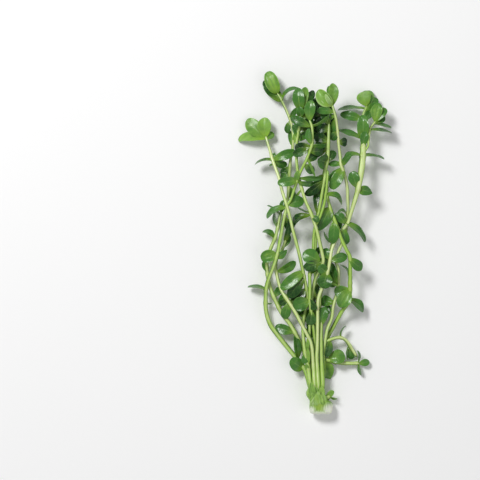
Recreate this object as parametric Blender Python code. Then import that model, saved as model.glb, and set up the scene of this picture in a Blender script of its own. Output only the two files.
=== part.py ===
# Baby tears: one cut bunch, lying on its back on a flat surface.
# The cut end points to -Y, the tips to +Y, and the side that the viewer sees faces +Z.
# Sizes in the tables below are in millimetres; MM turns them into Blender's metres.

import math

import bmesh
import bpy
from mathutils import Vector
from mathutils.bvhtree import BVHTree

MM = 0.001

GAP = 0.32               # clear space kept between neighbouring pieces
STEM_SIDES = 6
RING_SPACING = 10.0       # distance between the rings of a stem
FEWEST_RINGS = 4         # the number of steps along the shortest shoots
LEAF_THICKNESS = 0.75    # at the midrib; the rim of a leaf is sharp
GROUND_GAP = 0.05        # the lowest leaves lie this far above the ground
OWN_STEM_REACH = 3.0     # a leaf may touch its own stem and sister leaves this near its base

CENTRE = Vector((-0.05, 0.127, 0.0))   # middle of the bunch in the plan that the tables use

# The forms of the leaves. The first value moves the widest place: above 1 toward the tip, below 1
# toward the foot. The second makes the ends blunt when it is small. The third is how far the rims
# rise, as a share of the half width.
LEAF_FORMS = {
    "round": (1.30, 0.50, 0.10),
    "long": (1.05, 0.38, 0.10),
    "pointed": (0.75, 0.75, 0.10),
    "broad": (1.60, 0.42, 0.10),
    "bowl": (1.20, 0.45, 0.50),
}
LEAF_SHARES = (0.13, 0.36, 0.64, 0.90)   # places along a leaf that have a cross-section
SMALL_LEAF_SHARES = (0.16, 0.54, 0.88)
SMALL_LEAF = 5.3         # leaves narrower than this have fewer cross-sections

# Each stem has a route of (x, y, z, radius), from the crown end to the tip.
# Each leaf is (foot x, foot y, tip x, tip y, rise of the tip, width, roll in degrees, arch),
# where the foot is the nearest point of the stem in plan. Roll 0 faces up and 90 shows an edge,
# and arch is the height of the leaf's bow as a share of its length. A form other than round is
# named at the end of the row.
STEMS = {
    "outer_left_stem": {
        "colour": (0.36, 0.50, 0.12),
        "route": [
            (-2.35, -62.6, 3.1, 0.90), (-4.5, -55.5, 3.0, 0.95), (-8.9, -49.7, 2.6, 0.95),
            (-12.8, -44.8, 2.6, 0.95), (-17.2, -39.3, 3.0, 1.00), (-19.8, -35.3, 3.4, 1.00),
            (-21.4, -29.7, 4.0, 0.92), (-21.6, -23.8, 4.7, 0.90), (-21.3, -19.4, 5.7, 0.86),
            (-20.2, -15.3, 6.6, 0.82), (-18.8, -11.8, 7.3, 0.80), (-17.2, -7.1, 7.6, 0.78),
            (-16.2, -3.5, 7.6, 0.76), (-15.6, 0.0, 7.5, 0.75), (-14.6, 5.5, 7.3, 0.75),
            (-13.5, 11.0, 7.0, 0.70), (-12.4, 16.0, 6.8, 0.70), (-11.7, 22.0, 6.8, 0.70),
            (-11.4, 29.0, 7.0, 0.70), (-10.8, 36.0, 7.2, 0.65), (-9.8, 42.0, 7.6, 0.65),
            (-9.7, 48.0, 7.2, 0.60), (-10.7, 53.5, 6.2, 0.60), (-12.2, 57.3, 5.4, 0.60),
            (-14.3, 61.8, 4.6, 0.55), (-16.5, 65.6, 4.0, 0.50),
        ],
        "leaves": [
            (-4.4, -54.8, -11.0, -51.3, 2.4, 6.0, 5, 0.08, "long"),
            (-7.4, -51.2, -8.7, -40.6, 1.5, 3.8, 20, 0.12),
            (-21.6, -20.4, -29.4, -18.9, -2.5, 4.0, 70, 0.06, "long"),
            (-17.0, -6.5, -12.2, -3.0, -1.0, 3.4, 15, 0.08, "pointed"),
            (-12.6, 15.5, -21.2, 11.0, -2.5, 3.6, 45, 0.20, "long"),
            (-11.6, 25.0, -9.4, 19.4, -2.0, 3.4, 0, 0.10),
            (-11.3, 30.5, -15.0, 28.2, -1.5, 3.2, 15, 0.08),
            (-11.0, 33.5, -15.0, 30.2, -1.5, 3.2, 10, 0.10),
            (-10.7, 53.5, -12.0, 48.0, -1.0, 3.2, 15, 0.10),
            (-14.4, 62.2, -6.4, 67.8, 0.5, 4.2, -68, 0.20),
            (-14.4, 62.4, -22.1, 71.6, -2.7, 5.7, 0, 0.00, "long"),
            (-17.2, 65.4, -20.8, 75.2, 0.3, 6.0, -4, 0.14, "long"),
            (-16.4, 65.6, -17.9, 73.0, -1.5, 3.2, 30, 0.06),
            (-16.7, -5.0, -23.7, -6.8, -1.0, 5.6, 0, 0.10, "long"),
            (-13.2, 12.0, -10.2, 4.6, -2.0, 3.4, 0, 0.08),
        ],
    },
    "rear_left_stem": {
        "colour": (0.34, 0.47, 0.11),
        "route": [
            (-1.1, -62.6, 1.55, 0.70), (-2.5, -55.5, 1.7, 0.72), (-4.2, -49.5, 2.4, 0.80),
            (-5.9, -44.8, 3.4, 0.85), (-8.4, -39.9, 4.4, 0.90), (-11.3, -35.0, 4.8, 0.95),
            (-14.3, -31.1, 4.8, 0.95), (-16.6, -26.7, 4.4, 0.90), (-18.9, -21.5, 3.8, 0.90),
            (-20.1, -17.5, 3.3, 0.85), (-20.9, -13.0, 3.0, 0.80), (-21.0, -9.0, 3.0, 0.80),
            (-20.3, -5.3, 3.2, 0.80), (-19.2, -2.0, 3.8, 0.80), (-17.6, 1.8, 4.8, 0.80),
            (-16.7, 5.0, 5.2, 0.75), (-15.7, 10.0, 5.0, 0.65), (-14.8, 14.0, 4.6, 0.50),
        ],
        "leaves": [
            (-8.8, -39.2, -17.4, -36.6, -1.5, 4.6, 8, 0.10),
            (-15.8, -28.4, -13.3, -22.3, -1.0, 3.6, 0, 0.10),
            (-17.9, -23.7, -15.5, -19.4, -1.0, 3.2, 0, 0.08),
            (-20.9, -13.5, -22.8, -8.3, -0.5, 3.0, 30, 0.06),
            (-17.6, 1.8, -22.9, 5.2, -1.5, 3.8, 48, 0.20),
            (-16.4, 6.5, -17.8, 13.7, -1.0, 3.6, -68, 0.05),
            (-15.0, 13.0, -13.8, 18.8, 0.0, 2.8, 0, 0.08),
            (-15.3, 12.4, -20.8, 16.6, -0.5, 2.6, 62, 0.04, "long"),
        ],
    },
    "crossing_left_stem": {
        "colour": (0.42, 0.56, 0.15),
        "route": [
            (-0.25, -62.7, 6.2, 0.70), (-0.5, -57.0, 6.4, 0.70), (-0.9, -50.5, 7.0, 0.72),
            (-1.2, -46.5, 7.7, 0.75), (-1.9, -42.9, 8.4, 0.78), (-3.8, -39.2, 9.0, 0.80),
            (-5.6, -36.1, 9.3, 0.82), (-8.4, -30.8, 9.0, 0.85), (-11.3, -26.2, 8.2, 0.85),
            (-14.3, -21.5, 6.9, 0.80), (-15.6, -18.2, 6.0, 0.75), (-16.7, -13.6, 5.0, 0.75),
            (-17.2, -9.8, 4.5, 0.70), (-16.4, -6.4, 4.2, 0.65), (-14.6, -3.4, 4.2, 0.65),
            (-13.2, 0.0, 4.5, 0.60), (-12.3, 4.0, 4.9, 0.55), (-11.8, 7.5, 5.0, 0.50),
        ],
        "leaves": [
            (-11.4, -26.0, -13.4, -33.2, -3.0, 4.4, 0, 0.10),
            (-16.8, -12.6, -8.4, -8.2, 0.8, 4.4, 28, 0.12),
            (-13.0, 0.5, -11.2, 10.0, 0.4, 2.6, 0, 0.08, "long"),
            (-14.0, -2.2, -11.0, 3.6, -1.0, 2.6, 0, 0.05),
            (-13.0, -23.6, -6.8, -20.8, -1.5, 5.0, 0, 0.10),
            (-10.6, -27.4, -5.0, -29.2, -1.5, 4.4, 0, 0.10),
        ],
    },
    "long_left_stem": {
        "colour": (0.38, 0.50, 0.14),
        "route": [
            (-2.0, -62.6, 6.2, 0.70), (-2.9, -55.5, 6.4, 0.72), (-3.9, -50.0, 6.8, 0.75),
            (-4.7, -44.8, 7.0, 0.75), (-5.2, -39.9, 6.9, 0.75), (-5.2, -35.0, 6.9, 0.75),
            (-4.4, -30.0, 7.0, 0.75), (-3.3, -24.5, 7.4, 0.75), (-3.9, -19.4, 8.4, 0.75),
            (-5.2, -13.0, 9.8, 0.75), (-6.7, -6.0, 11.0, 0.72), (-8.2, 0.0, 12.0, 0.72),
            (-9.8, 6.0, 12.5, 0.70), (-11.0, 11.0, 12.6, 0.70), (-12.6, 16.8, 12.2, 0.70),
            (-14.4, 22.5, 11.2, 0.70), (-15.8, 28.5, 9.8, 0.70), (-17.0, 32.0, 8.8, 0.70),
            (-18.6, 36.5, 7.4, 0.75), (-19.7, 40.5, 5.9, 0.65), (-21.6, 46.8, 3.6, 0.60),
        ],
        "leaves": [
            (-5.2, -14.5, -11.5, -24.0, -3.0, 5.6, 0, 0.10),
            (-5.5, -12.6, -15.0, -20.2, 0.2, 5.0, 8, 0.08, "long"),
            (-12.7, 17.0, -4.9, 18.7, -1.0, 5.2, 0, 0.08),
            (-18.5, 36.2, -26.4, 34.4, -1.5, 4.2, 72, 0.12, "long"),
            (-18.5, 36.4, -8.4, 40.2, 0.5, 4.4, -10, 0.12),
            (-18.4, 35.8, -12.2, 34.2, -2.0, 3.6, 5, 0.10),
            (-21.4, 46.2, -29.9, 54.2, -1.8, 6.6, 0, 0.08),
            (-21.5, 46.4, -22.0, 55.1, 0.5, 6.2, 0, 0.08),
            (-21.3, 46.0, -33.7, 45.6, -3.8, 5.4, 35, 0.12, "long"),
            (-21.2, 45.6, -18.1, 48.4, -1.0, 3.2, 0, 0.05),
        ],
    },
    "front_shoot": {
        "colour": (0.40, 0.56, 0.12),
        "route": [
            (-10.9, 18.4, 13.2, 0.55), (-9.8, 21.6, 13.6, 0.60), (-8.4, 26.0, 14.6, 0.62),
            (-6.6, 30.8, 15.8, 0.62), (-4.0, 36.2, 17.2, 0.60), (-1.7, 42.3, 18.2, 0.60),
            (-1.3, 46.0, 18.6, 0.58), (-1.6, 50.5, 18.8, 0.55), (-2.7, 53.4, 18.8, 0.50),
        ],
        "leaves": [
            (-8.0, 27.2, -16.5, 26.0, 0.5, 4.2, 0, 0.10, "long"),
            (-7.6, 28.2, 3.0, 28.2, -1.5, 2.9, 30, 0.05),
            (-8.2, 26.6, -0.2, 25.9, -2.0, 2.6, 10, 0.06),
            (-2.4, 40.4, -9.9, 38.5, -2.0, 3.8, 0, 0.08),
            (-2.0, 41.6, -9.0, 41.5, -3.5, 4.2, 0, 0.08, "long"),
            (-2.5, 40.0, 3.6, 40.2, -2.5, 4.0, 0, 0.08),
            (-1.7, 42.4, 4.6, 42.4, -0.5, 3.2, 45, 0.04),
            (-1.7, 42.6, -3.0, 49.8, -0.5, 3.4, -30, 0.06),
            (-1.6, 50.6, -10.9, 54.6, -1.5, 4.2, -10, 0.08),
            (-1.6, 50.7, 6.0, 55.8, -0.5, 3.6, 72, 0.05),
            (-2.6, 53.0, -1.9, 62.0, 0.8, 4.8, 0, 0.10),
        ],
    },
    "centre_left_stem": {
        "colour": (0.38, 0.52, 0.13),
        "route": [
            (-1.1, -62.6, 4.65, 0.70), (-2.1, -54.0, 4.9, 0.70), (-2.5, -46.0, 5.4, 0.72),
            (-2.3, -38.0, 5.8, 0.72), (-2.0, -31.0, 6.0, 0.72), (-1.5, -25.0, 6.4, 0.72),
            (-0.8, -20.0, 7.2, 0.75), (0.3, -15.2, 8.4, 0.78), (2.0, -11.5, 9.8, 0.80),
            (3.5, -8.0, 11.0, 0.80), (3.0, -4.0, 12.0, 0.80), (2.0, 0.0, 13.0, 0.80),
            (1.0, 4.0, 13.6, 0.80), (0.0, 7.5, 14.0, 0.75), (-1.0, 10.5, 14.1, 0.75),
            (-2.0, 13.3, 14.0, 0.75), (-3.5, 16.5, 13.8, 0.70), (-4.5, 19.0, 13.5, 0.70),
            (-6.3, 25.0, 12.9, 0.70), (-7.3, 29.0, 12.6, 0.68), (-7.9, 33.0, 12.6, 0.65),
            (-8.3, 39.0, 12.8, 0.62), (-8.0, 44.0, 13.2, 0.60), (-7.2, 49.0, 13.6, 0.58),
            (-6.6, 54.0, 14.0, 0.55), (-6.3, 58.0, 14.2, 0.50),
        ],
        "leaves": [
            (-1.6, 12.3, -9.6, 6.6, -4.0, 4.6, 50, 0.25),
            (-2.0, 13.4, -8.0, 15.8, -1.0, 3.0, -80, 0.05),
            (-1.4, 11.8, 1.6, 9.4, -0.5, 2.8, 0, 0.08),
            (3.5, -8.4, -5.3, -4.2, -0.2, 6.8, 5, 0.10),
            (-7.4, 47.5, -4.4, 52.6, -2.0, 4.0, 0, 0.10),
            (-7.8, 45.5, -9.4, 51.8, -2.5, 3.6, 0, 0.10),
            (-6.5, 54.6, -6.9, 59.4, 2.2, 3.6, 0, 0.12),
            (-6.4, 57.0, -7.6, 67.6, 0.5, 5.4, -10, 0.10),
            (-6.3, 57.6, -4.2, 68.0, 0.0, 4.4, 15, 0.10),
            (-6.4, 56.5, -0.6, 66.6, -2.5, 4.0, 15, 0.10),
            (3.5, -8.6, -5.0, -10.8, -2.0, 5.0, 0, 0.10, "long"),
        ],
    },
    "centre_side_shoot": {
        "colour": (0.37, 0.54, 0.12),
        "route": [
            (1.2, 9.7, 13.8, 0.55), (2.4, 12.4, 13.8, 0.60), (3.8, 17.0, 14.2, 0.62),
            (4.3, 20.5, 14.6, 0.62), (5.0, 26.0, 15.2, 0.60), (5.4, 31.5, 15.9, 0.50),
        ],
        "leaves": [
            (4.4, 21.0, 11.5, 16.7, -1.5, 4.6, -60, 0.28, "long"),
        ],
    },
    "centre_tall_stem": {
        "colour": (0.36, 0.50, 0.12),
        "route": [
            (0.65, -62.6, 4.65, 0.70), (0.1, -54.0, 4.9, 0.70), (-0.1, -48.0, 5.4, 0.70),
            (0.0, -44.0, 6.0, 0.70), (-0.6, -38.0, 7.2, 0.70), (-1.5, -31.4, 8.6, 0.70),
            (-2.4, -26.2, 9.4, 0.72), (-2.3, -20.0, 9.7, 0.72), (-2.3, -13.0, 9.6, 0.72),
            (-1.5, -8.0, 9.1, 0.70), (-0.8, -3.0, 9.0, 0.70), (-0.6, 2.0, 9.7, 0.70),
            (-0.1, 6.5, 10.6, 0.68), (1.3, 11.5, 11.5, 0.68), (2.2, 17.0, 12.3, 0.68),
            (3.4, 24.0, 13.0, 0.68), (4.1, 28.0, 13.4, 0.68), (4.7, 33.0, 13.8, 0.68),
            (5.5, 37.0, 14.2, 0.75), (5.7, 43.0, 14.8, 0.72), (5.9, 52.0, 15.3, 0.55),
        ],
        "leaves": [
            (5.2, 35.3, 1.2, 36.4, 4.5, 7.0, 0, 0.10),
            (5.3, 35.4, 8.5, 40.2, -2.0, 3.8, 0, 0.10),
            (4.0, 27.5, -4.4, 20.9, -2.5, 4.2, 0, 0.10),
            (1.7, 12.4, 0.8, 23.6, -2.0, 3.2, 0, 0.08, "long"),
            (-2.3, -13.8, 0.8, -8.0, -1.5, 4.4, 0, 0.10),
            (5.7, 44.0, -0.4, 46.6, -1.5, 4.6, 0, 0.10),
            (5.9, 49.5, 0.6, 50.4, -1.0, 4.8, 0, 0.10),
            (5.9, 51.5, 3.4, 57.6, -1.0, 4.4, 0, 0.10),
            (-2.4, -25.2, -9.6, -27.8, -2.6, 6.4, 0, 0.06),
            (-1.9, -29.5, -2.7, -35.8, 0.6, 5.0, -12, 0.06, "broad"),
        ],
    },
    "right_middle_stem": {
        "colour": (0.42, 0.55, 0.15),
        "route": [
            (2.4, -62.6, 4.65, 0.70), (3.5, -54.0, 4.8, 0.70), (3.95, -48.5, 5.2, 0.70),
            (4.5, -43.0, 5.9, 0.72), (5.5, -37.5, 6.8, 0.72), (7.2, -33.0, 7.2, 0.72),
            (7.9, -28.0, 7.0, 0.72), (9.0, -24.0, 6.6, 0.72), (10.1, -19.0, 6.5, 0.70),
            (10.3, -12.0, 7.0, 0.70), (9.3, -8.3, 7.4, 0.70), (9.8, -5.0, 7.8, 0.68),
            (10.8, -2.5, 8.0, 0.68), (12.0, 0.5, 7.8, 0.68), (13.2, 3.5, 7.4, 0.68),
            (13.8, 7.0, 7.2, 0.68), (14.0, 11.0, 8.0, 0.68), (14.4, 15.0, 8.8, 0.70),
            (14.3, 19.0, 9.6, 0.70), (14.0, 24.0, 10.4, 0.70), (13.3, 28.0, 11.2, 0.70),
            (12.2, 31.5, 12.0, 0.70), (11.2, 34.2, 12.4, 0.72), (10.8, 38.0, 12.6, 0.68),
            (10.3, 42.0, 13.0, 0.66), (9.9, 46.0, 13.4, 0.64), (9.4, 50.5, 14.0, 0.62),
            (8.7, 55.0, 14.6, 0.60), (7.3, 60.0, 15.0, 0.50),
        ],
        "leaves": [
            (8.4, -26.2, 2.4, -25.6, -1.5, 5.0, 10, 0.12),
            (10.1, -18.8, 7.2, -8.8, 0.0, 5.0, -25, 0.12),
            (14.0, 11.5, 9.1, 12.2, 0.0, 4.2, 70, 0.48, "long"),
            (12.0, 32.3, 6.9, 23.6, 0.5, 5.2, 8, 0.10, "long"),
            (10.1, 44.0, 13.9, 44.4, -1.5, 4.0, 0, 0.10),
            (9.6, 48.6, 6.6, 45.0, -1.0, 3.8, 0, 0.08),
            (8.7, 55.2, 4.2, 54.7, 0.8, 3.2, 20, 0.08),
            (8.3, 57.0, 0.5, 57.6, -0.5, 3.6, 15, 0.08),
            (7.4, 59.8, 7.5, 69.6, 0.3, 4.6, 10, 0.08),
            (7.4, 59.8, 1.0, 66.5, 0.8, 6.4, -20, 0.12, "bowl"),
            (7.5, 59.9, 3.0, 65.6, 1.6, 4.4, 0, 0.12, "bowl"),
            (7.4, 59.8, 6.0, 68.5, -1.2, 4.0, 0, 0.10),
            (8.8, 54.2, 7.3, 45.2, -2.0, 2.8, 0, 0.05, "long"),
        ],
    },
    "right_thick_stem": {
        "colour": (0.45, 0.58, 0.18),
        "route": [
            (1.5, -62.7, 6.2, 0.70), (1.2, -56.0, 6.5, 0.70), (0.85, -50.0, 7.2, 0.72),
            (1.0, -44.8, 7.8, 0.75), (1.1, -34.0, 8.9, 0.80), (1.3, -25.0, 9.9, 0.80),
            (3.0, -19.7, 10.4, 0.78), (5.0, -14.5, 10.8, 0.78), (6.4, -8.0, 11.0, 0.78),
            (7.2, -3.0, 10.4, 0.75), (8.5, 0.3, 9.8, 0.75), (10.2, 3.2, 9.4, 0.75),
            (12.6, 6.6, 9.5, 0.75), (14.3, 9.0, 10.0, 0.80), (15.3, 12.0, 10.6, 0.85),
            (16.5, 16.0, 11.3, 0.92), (17.8, 20.5, 11.8, 1.05), (19.1, 25.5, 12.2, 1.20),
            (20.0, 31.0, 11.6, 1.42), (20.7, 37.5, 10.4, 1.42), (21.0, 44.0, 8.8, 1.10),
            (20.7, 50.0, 7.0, 0.80), (20.6, 54.5, 5.8, 0.68), (22.9, 60.2, 4.2, 0.50),
        ],
        "leaves": [
            (5.4, -13.0, 3.6, -19.8, 1.8, 6.8, 0, 0.14),
            (5.5, -13.2, 1.6, -9.8, -1.5, 4.6, 0, 0.10),
            (6.5, -7.5, 4.1, -2.2, -1.5, 3.4, 0, 0.10),
            (8.0, -0.6, 3.8, 5.0, -1.0, 3.6, -80, 0.06),
            (13.8, 8.2, 8.7, 12.9, -1.5, 4.2, 10, 0.10),
            (12.7, 6.8, 13.9, -0.7, -2.0, 3.8, 0, 0.10),
            (14.0, 8.6, 22.0, 0.5, -2.0, 4.4, -50, 0.12, "long"),
            (18.7, 23.8, 16.0, 31.2, 0.5, 5.0, 8, 0.10, "broad"),
            (18.6, 23.4, 25.0, 21.7, -2.0, 4.4, 0, 0.05, "pointed"),
            (20.9, 38.0, 12.5, 33.0, -1.0, 5.6, 62, 0.36, "long"),
            (20.9, 38.0, 30.2, 36.6, -2.0, 4.6, -70, 0.10, "long"),
            (21.0, 45.4, 10.3, 49.3, -0.5, 4.6, 58, 0.05, "long"),
            (21.0, 45.4, 20.8, 56.0, 0.4, 5.4, 0, 0.08, "long"),
            (20.8, 54.0, 11.1, 56.6, -1.5, 4.2, 8, 0.08),
            (22.0, 58.9, 10.0, 58.3, 0.3, 4.0, 62, 0.06),
            (22.8, 60.0, 21.0, 66.4, 0.0, 6.4, 0, 0.08, "broad"),
            (22.2, 59.4, 23.6, 67.2, -4.0, 5.6, 0, 0.10),
            (22.2, 59.4, 27.6, 63.3, -1.6, 4.0, 0, 0.08),
            (22.0, 57.6, 28.8, 60.3, -1.0, 5.2, 0, 0.10),
            (4.7, -15.3, 9.8, -18.8, 0.6, 1.6, 50, 0.04, "long"),
            (6.6, -7.6, 14.0, -5.7, -1.0, 4.4, 0, 0.10),
        ],
    },
    "right_top_shoot": {
        "colour": (0.42, 0.56, 0.15),
        "route": [
            (23.05, 42.2, 9.8, 0.50), (23.25, 44.8, 9.7, 0.52), (24.0, 49.8, 8.6, 0.52),
            (25.2, 51.7, 8.0, 0.48), (26.6, 53.4, 7.4, 0.42),
        ],
        "leaves": [
            (24.0, 49.4, 33.6, 48.0, -1.5, 4.4, -70, 0.08, "long"),
            (26.3, 53.0, 27.8, 61.3, 0.8, 5.0, 0, 0.08),
            (26.3, 52.8, 31.2, 58.9, -0.8, 4.4, -12, 0.10),
            (26.0, 52.4, 33.5, 50.6, -1.0, 3.2, -66, 0.00, "long"),
        ],
    },
    "outer_right_stem": {
        "colour": (0.38, 0.50, 0.14),
        "route": [
            (3.3, -62.6, 3.0, 0.72), (3.9, -54.0, 3.0, 0.75), (4.1, -48.5, 3.2, 0.78),
            (5.2, -42.5, 3.6, 0.80), (8.3, -36.4, 4.6, 0.85), (11.8, -30.0, 6.0, 0.88),
            (14.2, -26.5, 7.0, 0.90), (15.2, -22.5, 8.2, 0.90), (15.3, -16.5, 9.6, 0.88),
            (15.3, -10.0, 10.6, 0.85), (15.1, -6.0, 11.2, 0.85), (13.9, -3.4, 11.7, 0.82),
            (12.0, 0.5, 12.1, 0.80), (10.8, 3.5, 12.3, 0.78), (9.8, 6.5, 12.4, 0.76),
            (8.7, 9.5, 12.3, 0.74), (7.5, 12.5, 12.0, 0.72), (6.5, 15.5, 11.6, 0.70),
            (5.7, 18.5, 11.1, 0.65), (5.2, 22.0, 10.6, 0.58), (5.2, 27.0, 10.4, 0.50),
        ],
        "leaves": [
            (3.95, -52.0, 7.0, -59.7, -2.7, 7.0, 0, 0.00, "pointed"),
            (15.0, -24.6, 21.4, -30.0, -2.5, 5.0, -42, 0.10),
            (15.0, -20.0, 10.6, -28.0, 1.2, 6.4, 0, 0.10),
            (15.3, -17.5, 11.3, -9.3, 0.0, 3.4, 68, 0.16, "long"),
            (15.2, -20.2, 8.4, -21.8, -0.5, 5.6, 0, 0.08),
            (15.2, -6.4, 20.4, -11.7, -1.5, 5.0, -20, 0.10),
            (8.3, 10.5, 7.6, -0.2, -2.5, 4.8, 0, 0.10),
            (6.5, 15.5, 1.6, 5.3, 1.4, 6.2, 0, 0.10, "pointed"),
            (5.2, 24.5, 1.2, 20.6, -1.5, 4.4, 0, 0.10),
        ],
    },
    "rear_centre_stem": {
        "colour": (0.28, 0.40, 0.10),
        "route": [
            (0.65, -62.6, 1.6, 0.72), (0.5, -50.0, 1.9, 0.72), (0.3, -40.0, 2.4, 0.72),
            (0.4, -30.0, 2.8, 0.72), (0.3, -20.0, 3.2, 0.70), (0.3, -10.0, 3.5, 0.70),
            (0.3, 0.0, 3.6, 0.70), (0.6, 8.0, 3.6, 0.68), (1.5, 15.0, 3.8, 0.65),
            (2.5, 21.0, 4.0, 0.62), (3.4, 27.0, 4.3, 0.60), (4.4, 34.0, 4.8, 0.58),
            (5.0, 40.0, 5.4, 0.56), (5.0, 46.0, 6.2, 0.54), (4.0, 52.0, 7.4, 0.50),
            (3.0, 57.0, 8.6, 0.45),
        ],
        "leaves": [
            (0.3, -41.5, -2.9, -34.6, 0.5, 4.4, 0, 0.10),
            (0.4, -28.5, -4.6, -34.2, 0.5, 4.6, 0, 0.10),
            (0.3, -12.0, -3.4, -7.6, 0.5, 4.6, 0, 0.10),
            (2.9, 24.0, 0.9, 17.0, 0.5, 4.0, 0, 0.10),
            (3.8, 30.0, 0.4, 24.4, 1.0, 4.6, 0, 0.10),
            (5.0, 44.0, 0.2, 42.2, 1.5, 5.4, 0, 0.10),
            (4.2, 50.5, -0.6, 53.4, 1.5, 5.6, 0, 0.10),
            (4.4, 50.0, 9.2, 47.2, 1.0, 4.4, 0, 0.10),
            (3.3, 55.5, 5.8, 61.6, 1.0, 5.2, 0, 0.10),
            (3.0, 56.8, 0.4, 63.6, 1.5, 5.4, 0, 0.10),
        ],
    },
    "rear_right_stem": {
        "colour": (0.40, 0.54, 0.14),
        "route": [
            (3.3, -62.6, 6.3, 0.70), (3.1, -54.0, 6.6, 0.70), (2.9, -48.0, 6.9, 0.72),
            (2.7, -40.0, 7.1, 0.74), (2.7, -34.0, 6.8, 0.74), (2.3, -29.0, 6.2, 0.72),
            (2.2, -24.0, 5.7, 0.70), (3.6, -17.0, 5.2, 0.68), (5.7, -10.0, 4.8, 0.66),
            (7.0, -3.0, 4.6, 0.64), (8.2, 3.0, 4.6, 0.60), (8.3, 8.0, 4.8, 0.56),
            (7.4, 12.0, 5.2, 0.50),
        ],
        "leaves": [
            (2.7, -36.0, 4.3, -27.9, 0.5, 4.6, 0, 0.10),
            (4.6, -14.0, 8.9, -19.0, 0.5, 4.4, 0, 0.10),
            (6.6, -5.0, 4.6, -10.2, 0.5, 4.0, 0, 0.10),
            (8.3, 7.0, 11.8, 8.6, 1.0, 4.0, 0, 0.10),
            (7.6, 11.4, 5.0, 14.2, 1.5, 4.0, 0, 0.10),
        ],
    },
    "low_arching_shoot": {
        "colour": (0.46, 0.52, 0.24),
        "route": [
            (6.2, -42.6, 5.6, 0.52), (8.2, -41.8, 5.6, 0.60), (10.9, -41.4, 5.2, 0.62),
            (13.3, -42.4, 4.4, 0.60), (15.1, -44.7, 3.6, 0.56), (16.5, -47.0, 3.0, 0.50),
            (18.5, -49.9, 2.4, 0.42),
        ],
        "leaves": [
            (6.6, -42.4, 4.9, -49.9, -0.5, 3.4, -20, 0.10),
            (11.3, -41.5, 13.9, -36.4, -0.5, 2.6, -78, 0.14),
            (15.1, -44.8, 14.2, -51.4, -1.2, 2.6, 75, 0.04),
            (15.7, -45.7, 16.3, -51.0, -0.8, 3.4, 0, 0.05),
        ],
    },
    "low_side_shoot": {
        "colour": (0.42, 0.58, 0.16),
        "route": [
            (5.5, -51.25, 3.6, 0.45), (9.0, -52.3, 3.4, 0.46), (13.4, -52.8, 2.8, 0.44),
            (19.6, -52.8, 2.2, 0.36),
        ],
        "leaves": [
            (5.4, -51.3, 13.2, -49.4, 0.3, 6.4, -15, 0.10, "broad"),
            (19.3, -52.8, 24.1, -52.3, -0.3, 3.2, 0, 0.06),
            (19.1, -52.8, 18.7, -47.1, 0.0, 3.0, 66, 0.05),
            (19.4, -52.8, 20.4, -58.2, -0.3, 3.0, 66, 0.05),
        ],
    },
    "crown_sprig": {
        "colour": (0.40, 0.50, 0.16),
        "route": [
            (5.45, -67.7, 4.4, 0.60), (6.0, -67.5, 4.4, 0.55), (6.7, -67.3, 4.4, 0.45),
        ],
        "leaves": [
            (5.2, -67.9, 8.1, -64.7, 0.3, 2.6, 0, 0.05, "long"),
            (6.4, -67.6, 9.8, -68.3, -0.2, 2.2, 60, 0.05),
        ],
    },
}

# The crown's sections from its cut end up: y, middle x, half width, half height.
CROWN_COLOUR = (0.50, 0.58, 0.28)
CROWN_MIDDLE_Z = 3.9
CROWN_SIDES = 16
CROWN_FULLNESS = 0.78    # below 1 the crown's sections fill out toward a rounded box
CROWN_SECTIONS = [
    (-75.0, 2.65, 3.7, 2.4), (-74.4, 2.65, 4.7, 3.4), (-72.6, 2.65, 4.95, 3.9),
    (-70.2, 2.6, 4.9, 3.9), (-69.0, 1.8, 4.2, 3.8), (-68.0, 0.7, 3.8, 3.8),
    (-66.8, 0.2, 4.0, 3.9), (-65.4, 0.2, 4.0, 3.9), (-64.3, 0.4, 3.6, 3.5), (-63.3, 0.4, 2.4, 2.4),
]

# The sheath leaves pressed on the crown: foot, tip, width, roll in degrees.
SHEATHS = [
    ((-1.2, -67.5, 7.0), (-1.7, -60.7, 8.1), 3.4, 0),
    ((2.6, -68.0, 6.9), (3.1, -62.2, 7.9), 2.8, 15),
]

# How a leaf makes way for its neighbours: the changes tried, smallest first.
RISE_STEPS = [0.0, 0.7, -0.7, 1.4, -1.4, 2.1, -2.1, 2.8, -2.8, 3.5, -3.5, 4.5, -4.5, 5.5, 6.5]
ROLL_STEPS = [0, 10, -10, 20, -20, 35, -35]
ROLL_COST = 0.06         # how much one degree of roll counts against a millimetre of rise


def smooth_route(points, spacing):
    """Points and radii at even spacing on a smooth curve through the route."""
    padded = [points[0]] + list(points) + [points[-1]]
    fine = []
    for before, start, end, after in zip(padded, padded[1:], padded[2:], padded[3:]):
        count = 8
        for step in range(count):
            t = step / count
            row = []
            for p0, p1, p2, p3 in zip(before, start, end, after):
                row.append(0.5 * (2 * p1 + (p2 - p0) * t + (2 * p0 - 5 * p1 + 4 * p2 - p3) * t * t
                                  + (3 * p1 - p0 - 3 * p2 + p3) * t ** 3))
            fine.append(row)
    fine.append(list(points[-1]))
    lengths = [0.0]
    for first, second in zip(fine, fine[1:]):
        lengths.append(lengths[-1] + (Vector(second[:3]) - Vector(first[:3])).length)
    pieces = max(FEWEST_RINGS, round(lengths[-1] / spacing))
    result = []
    index = 0
    for ring in range(pieces + 1):
        target = lengths[-1] * ring / pieces
        while index < len(fine) - 2 and lengths[index + 1] < target:
            index += 1
        share = (target - lengths[index]) / max(lengths[index + 1] - lengths[index], 1e-9)
        row = [a + (b - a) * min(max(share, 0.0), 1.0) for a, b in zip(fine[index], fine[index + 1])]
        result.append((Vector(row[:3]), row[3]))
    return result


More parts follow.
